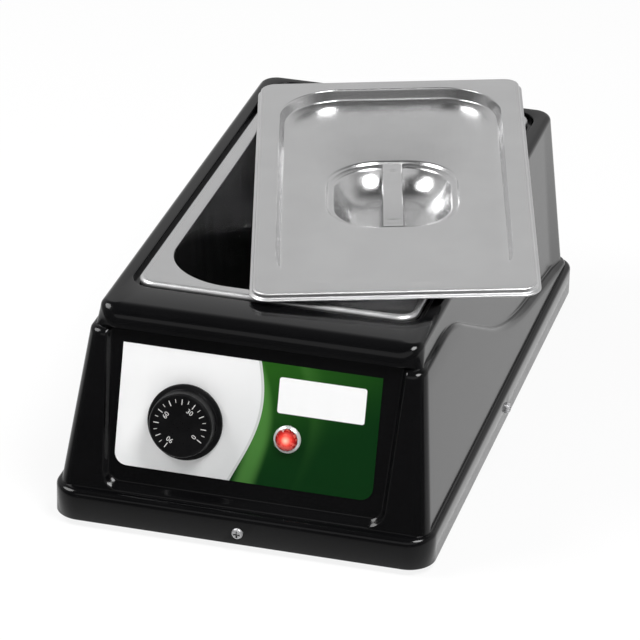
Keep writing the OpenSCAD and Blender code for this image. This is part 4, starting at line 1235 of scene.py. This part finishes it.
# Pilot lamp lens with moulded facets
def make_lens():
    n, seat = LENS_SIDES, BEZEL_H - LENS_IN
    profile = [(LENS_D / 2, 0.0), (LENS_D / 2, seat + LENS_CLEAR)]
    profile += [(r, seat + h) for r, h in LENS_SKIRT]
    plain_rings = len(profile)
    profile += LENS_FACETS
    verts = []
    for j, (r, z) in enumerate(profile):
        # The facets' rings are turned by half a step from one to the next
        off = 0.5 if j < plain_rings or j % 2 else 0.0
        verts += [(r * cos(360 * (i + off) / n), r * sin(360 * (i + off) / n), z) for i in range(n)]
    faces = []
    for j in range(len(profile) - 1):
        for i in range(n):
            a, b = j * n + i, j * n + (i + 1) % n
            if j < plain_rings - 1:
                faces.append((a, b, b + n, a + n))
            elif j % 2 == 0:
                faces += [(a, b, a + n), (b, b + n, a + n)]
            else:
                faces += [(a, b, b + n), (a, b + n, a + n)]
    faces += end_caps(n, len(profile))
    obj = solid("lamp_lens", verts, faces, "base", "lens_red", LENS, sharp=4.0,
                place=on_panel(LAMP_X, LAMP_S, LABEL_T + LENS_IN))
    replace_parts(obj, "pilot_lamp_lens")


make_lens()

# Studio in metres. A change of level is given as its start, its end, the level before and the level after
FLOOR_HALF = 9
PAPER = (0.9, 0.9, 0.9, 1)
PAPER_GLOW_SEEN = 0.86
PAPER_GLOW_MIRRORED = 0.9
PAPER_FADE = (-0.34, -0.14, 0.05, 0.90)
SKY_DEPTH = (-0.7, 0.5, 0.12, 0.80)
SKY_HEIGHT = (0.5, 0.92, 1.0, 0.16)
FULL_WHITE = 1.0
LAMP_TARGET = (0, 0, 0.08)
# Name, place, width and length, and watts of each lamp
LAMPS = (("left", (-1.25, -0.35, 1.6), (1.0, 1.0), 22.0),
         ("right", (0.85, -0.6, 1.9), (0.9, 0.9), 34.0),
         ("front", (0.3, -2.1, 1.8), (3.0, 1.4), 6.0))


def for_camera(tree, seen, other):
    """Socket with one value for the camera's own rays, and another's value for all others."""
    path = node(tree, "ShaderNodeLightPath")
    pick = node(tree, "ShaderNodeMix", data_type="FLOAT")
    link(tree, path, "Is Camera Ray", pick, "Factor")
    tree.links.new(other, pick.inputs["A"])
    pick.inputs["B"].default_value = seen
    return pick.outputs["Result"]


def floor_paper():
    """White paper that glows where it is seen or mirrored, and keeps the shadow."""
    mat = bpy.data.materials.new("floor_paper")
    mat.use_nodes = True
    t = mat.node_tree
    t.nodes.clear()
    path = node(t, "ShaderNodeLightPath")
    mirrored = calc(t, "MAXIMUM", path.outputs["Is Glossy Ray"], path.outputs["Is Transmission Ray"])
    share = for_camera(t, PAPER_GLOW_SEEN, calc(t, "MULTIPLY", mirrored, PAPER_GLOW_MIRRORED))
    # Mirrored in the part, the paper fades towards the viewer
    place = node(t, "ShaderNodeNewGeometry")
    along = node(t, "ShaderNodeSeparateXYZ")
    link(t, place, "Position", along, "Vector")
    level = for_camera(t, FULL_WHITE, smooth(t, along.outputs["Y"], *PAPER_FADE))
    paper = node(t, "ShaderNodeBsdfDiffuse")
    set_in(paper, Color=PAPER)
    glow = node(t, "ShaderNodeEmission")
    t.links.new(level, glow.inputs["Strength"])
    mix = node(t, "ShaderNodeMixShader")
    t.links.new(share, mix.inputs[0])
    link(t, paper, 0, mix, 1)
    link(t, glow, 0, mix, 2)
    link(t, mix, 0, node(t, "ShaderNodeOutputMaterial"), "Surface")
    return mat


def make_floor():
    mesh = bpy.data.meshes.new("floor")
    corners = [(FLOOR_HALF * x, FLOOR_HALF * y, 0) for x, y in ((-1, -1), (1, -1), (1, 1), (-1, 1))]
    mesh.from_pydata(corners, [], [(0, 1, 2, 3)])
    mesh.materials.append(floor_paper())
    add_object("floor", mesh)


def make_world():
    """Light surroundings that are dimmer towards the front and overhead."""
    world = bpy.data.worlds.new("studio")
    scene.world = world
    world.use_nodes = True
    t = world.node_tree
    t.nodes.clear()
    tc = node(t, "ShaderNodeTexCoord")
    sep = node(t, "ShaderNodeSeparateXYZ")
    link(t, tc, "Generated", sep, "Vector")
    sky = calc(t, "MULTIPLY", smooth(t, sep.outputs["Y"], *SKY_DEPTH),
               smooth(t, sep.outputs["Z"], *SKY_HEIGHT))
    background = node(t, "ShaderNodeBackground")
    t.links.new(for_camera(t, FULL_WHITE, sky), background.inputs["Strength"])
    link(t, background, 0, node(t, "ShaderNodeOutputWorld"), "Surface")


def make_lamps():
    for name, at, size, watts in LAMPS:
        data = bpy.data.lights.new(name, "AREA")
        data.shape = "ELLIPSE"
        data.size, data.size_y = size
        data.energy = watts
        obj = add_object(name, data)
        obj.location = at
        obj.rotation_euler = (Vector(LAMP_TARGET) - Vector(at)).to_track_quat("-Z", "Y").to_euler()


make_floor()
make_world()
make_lamps()
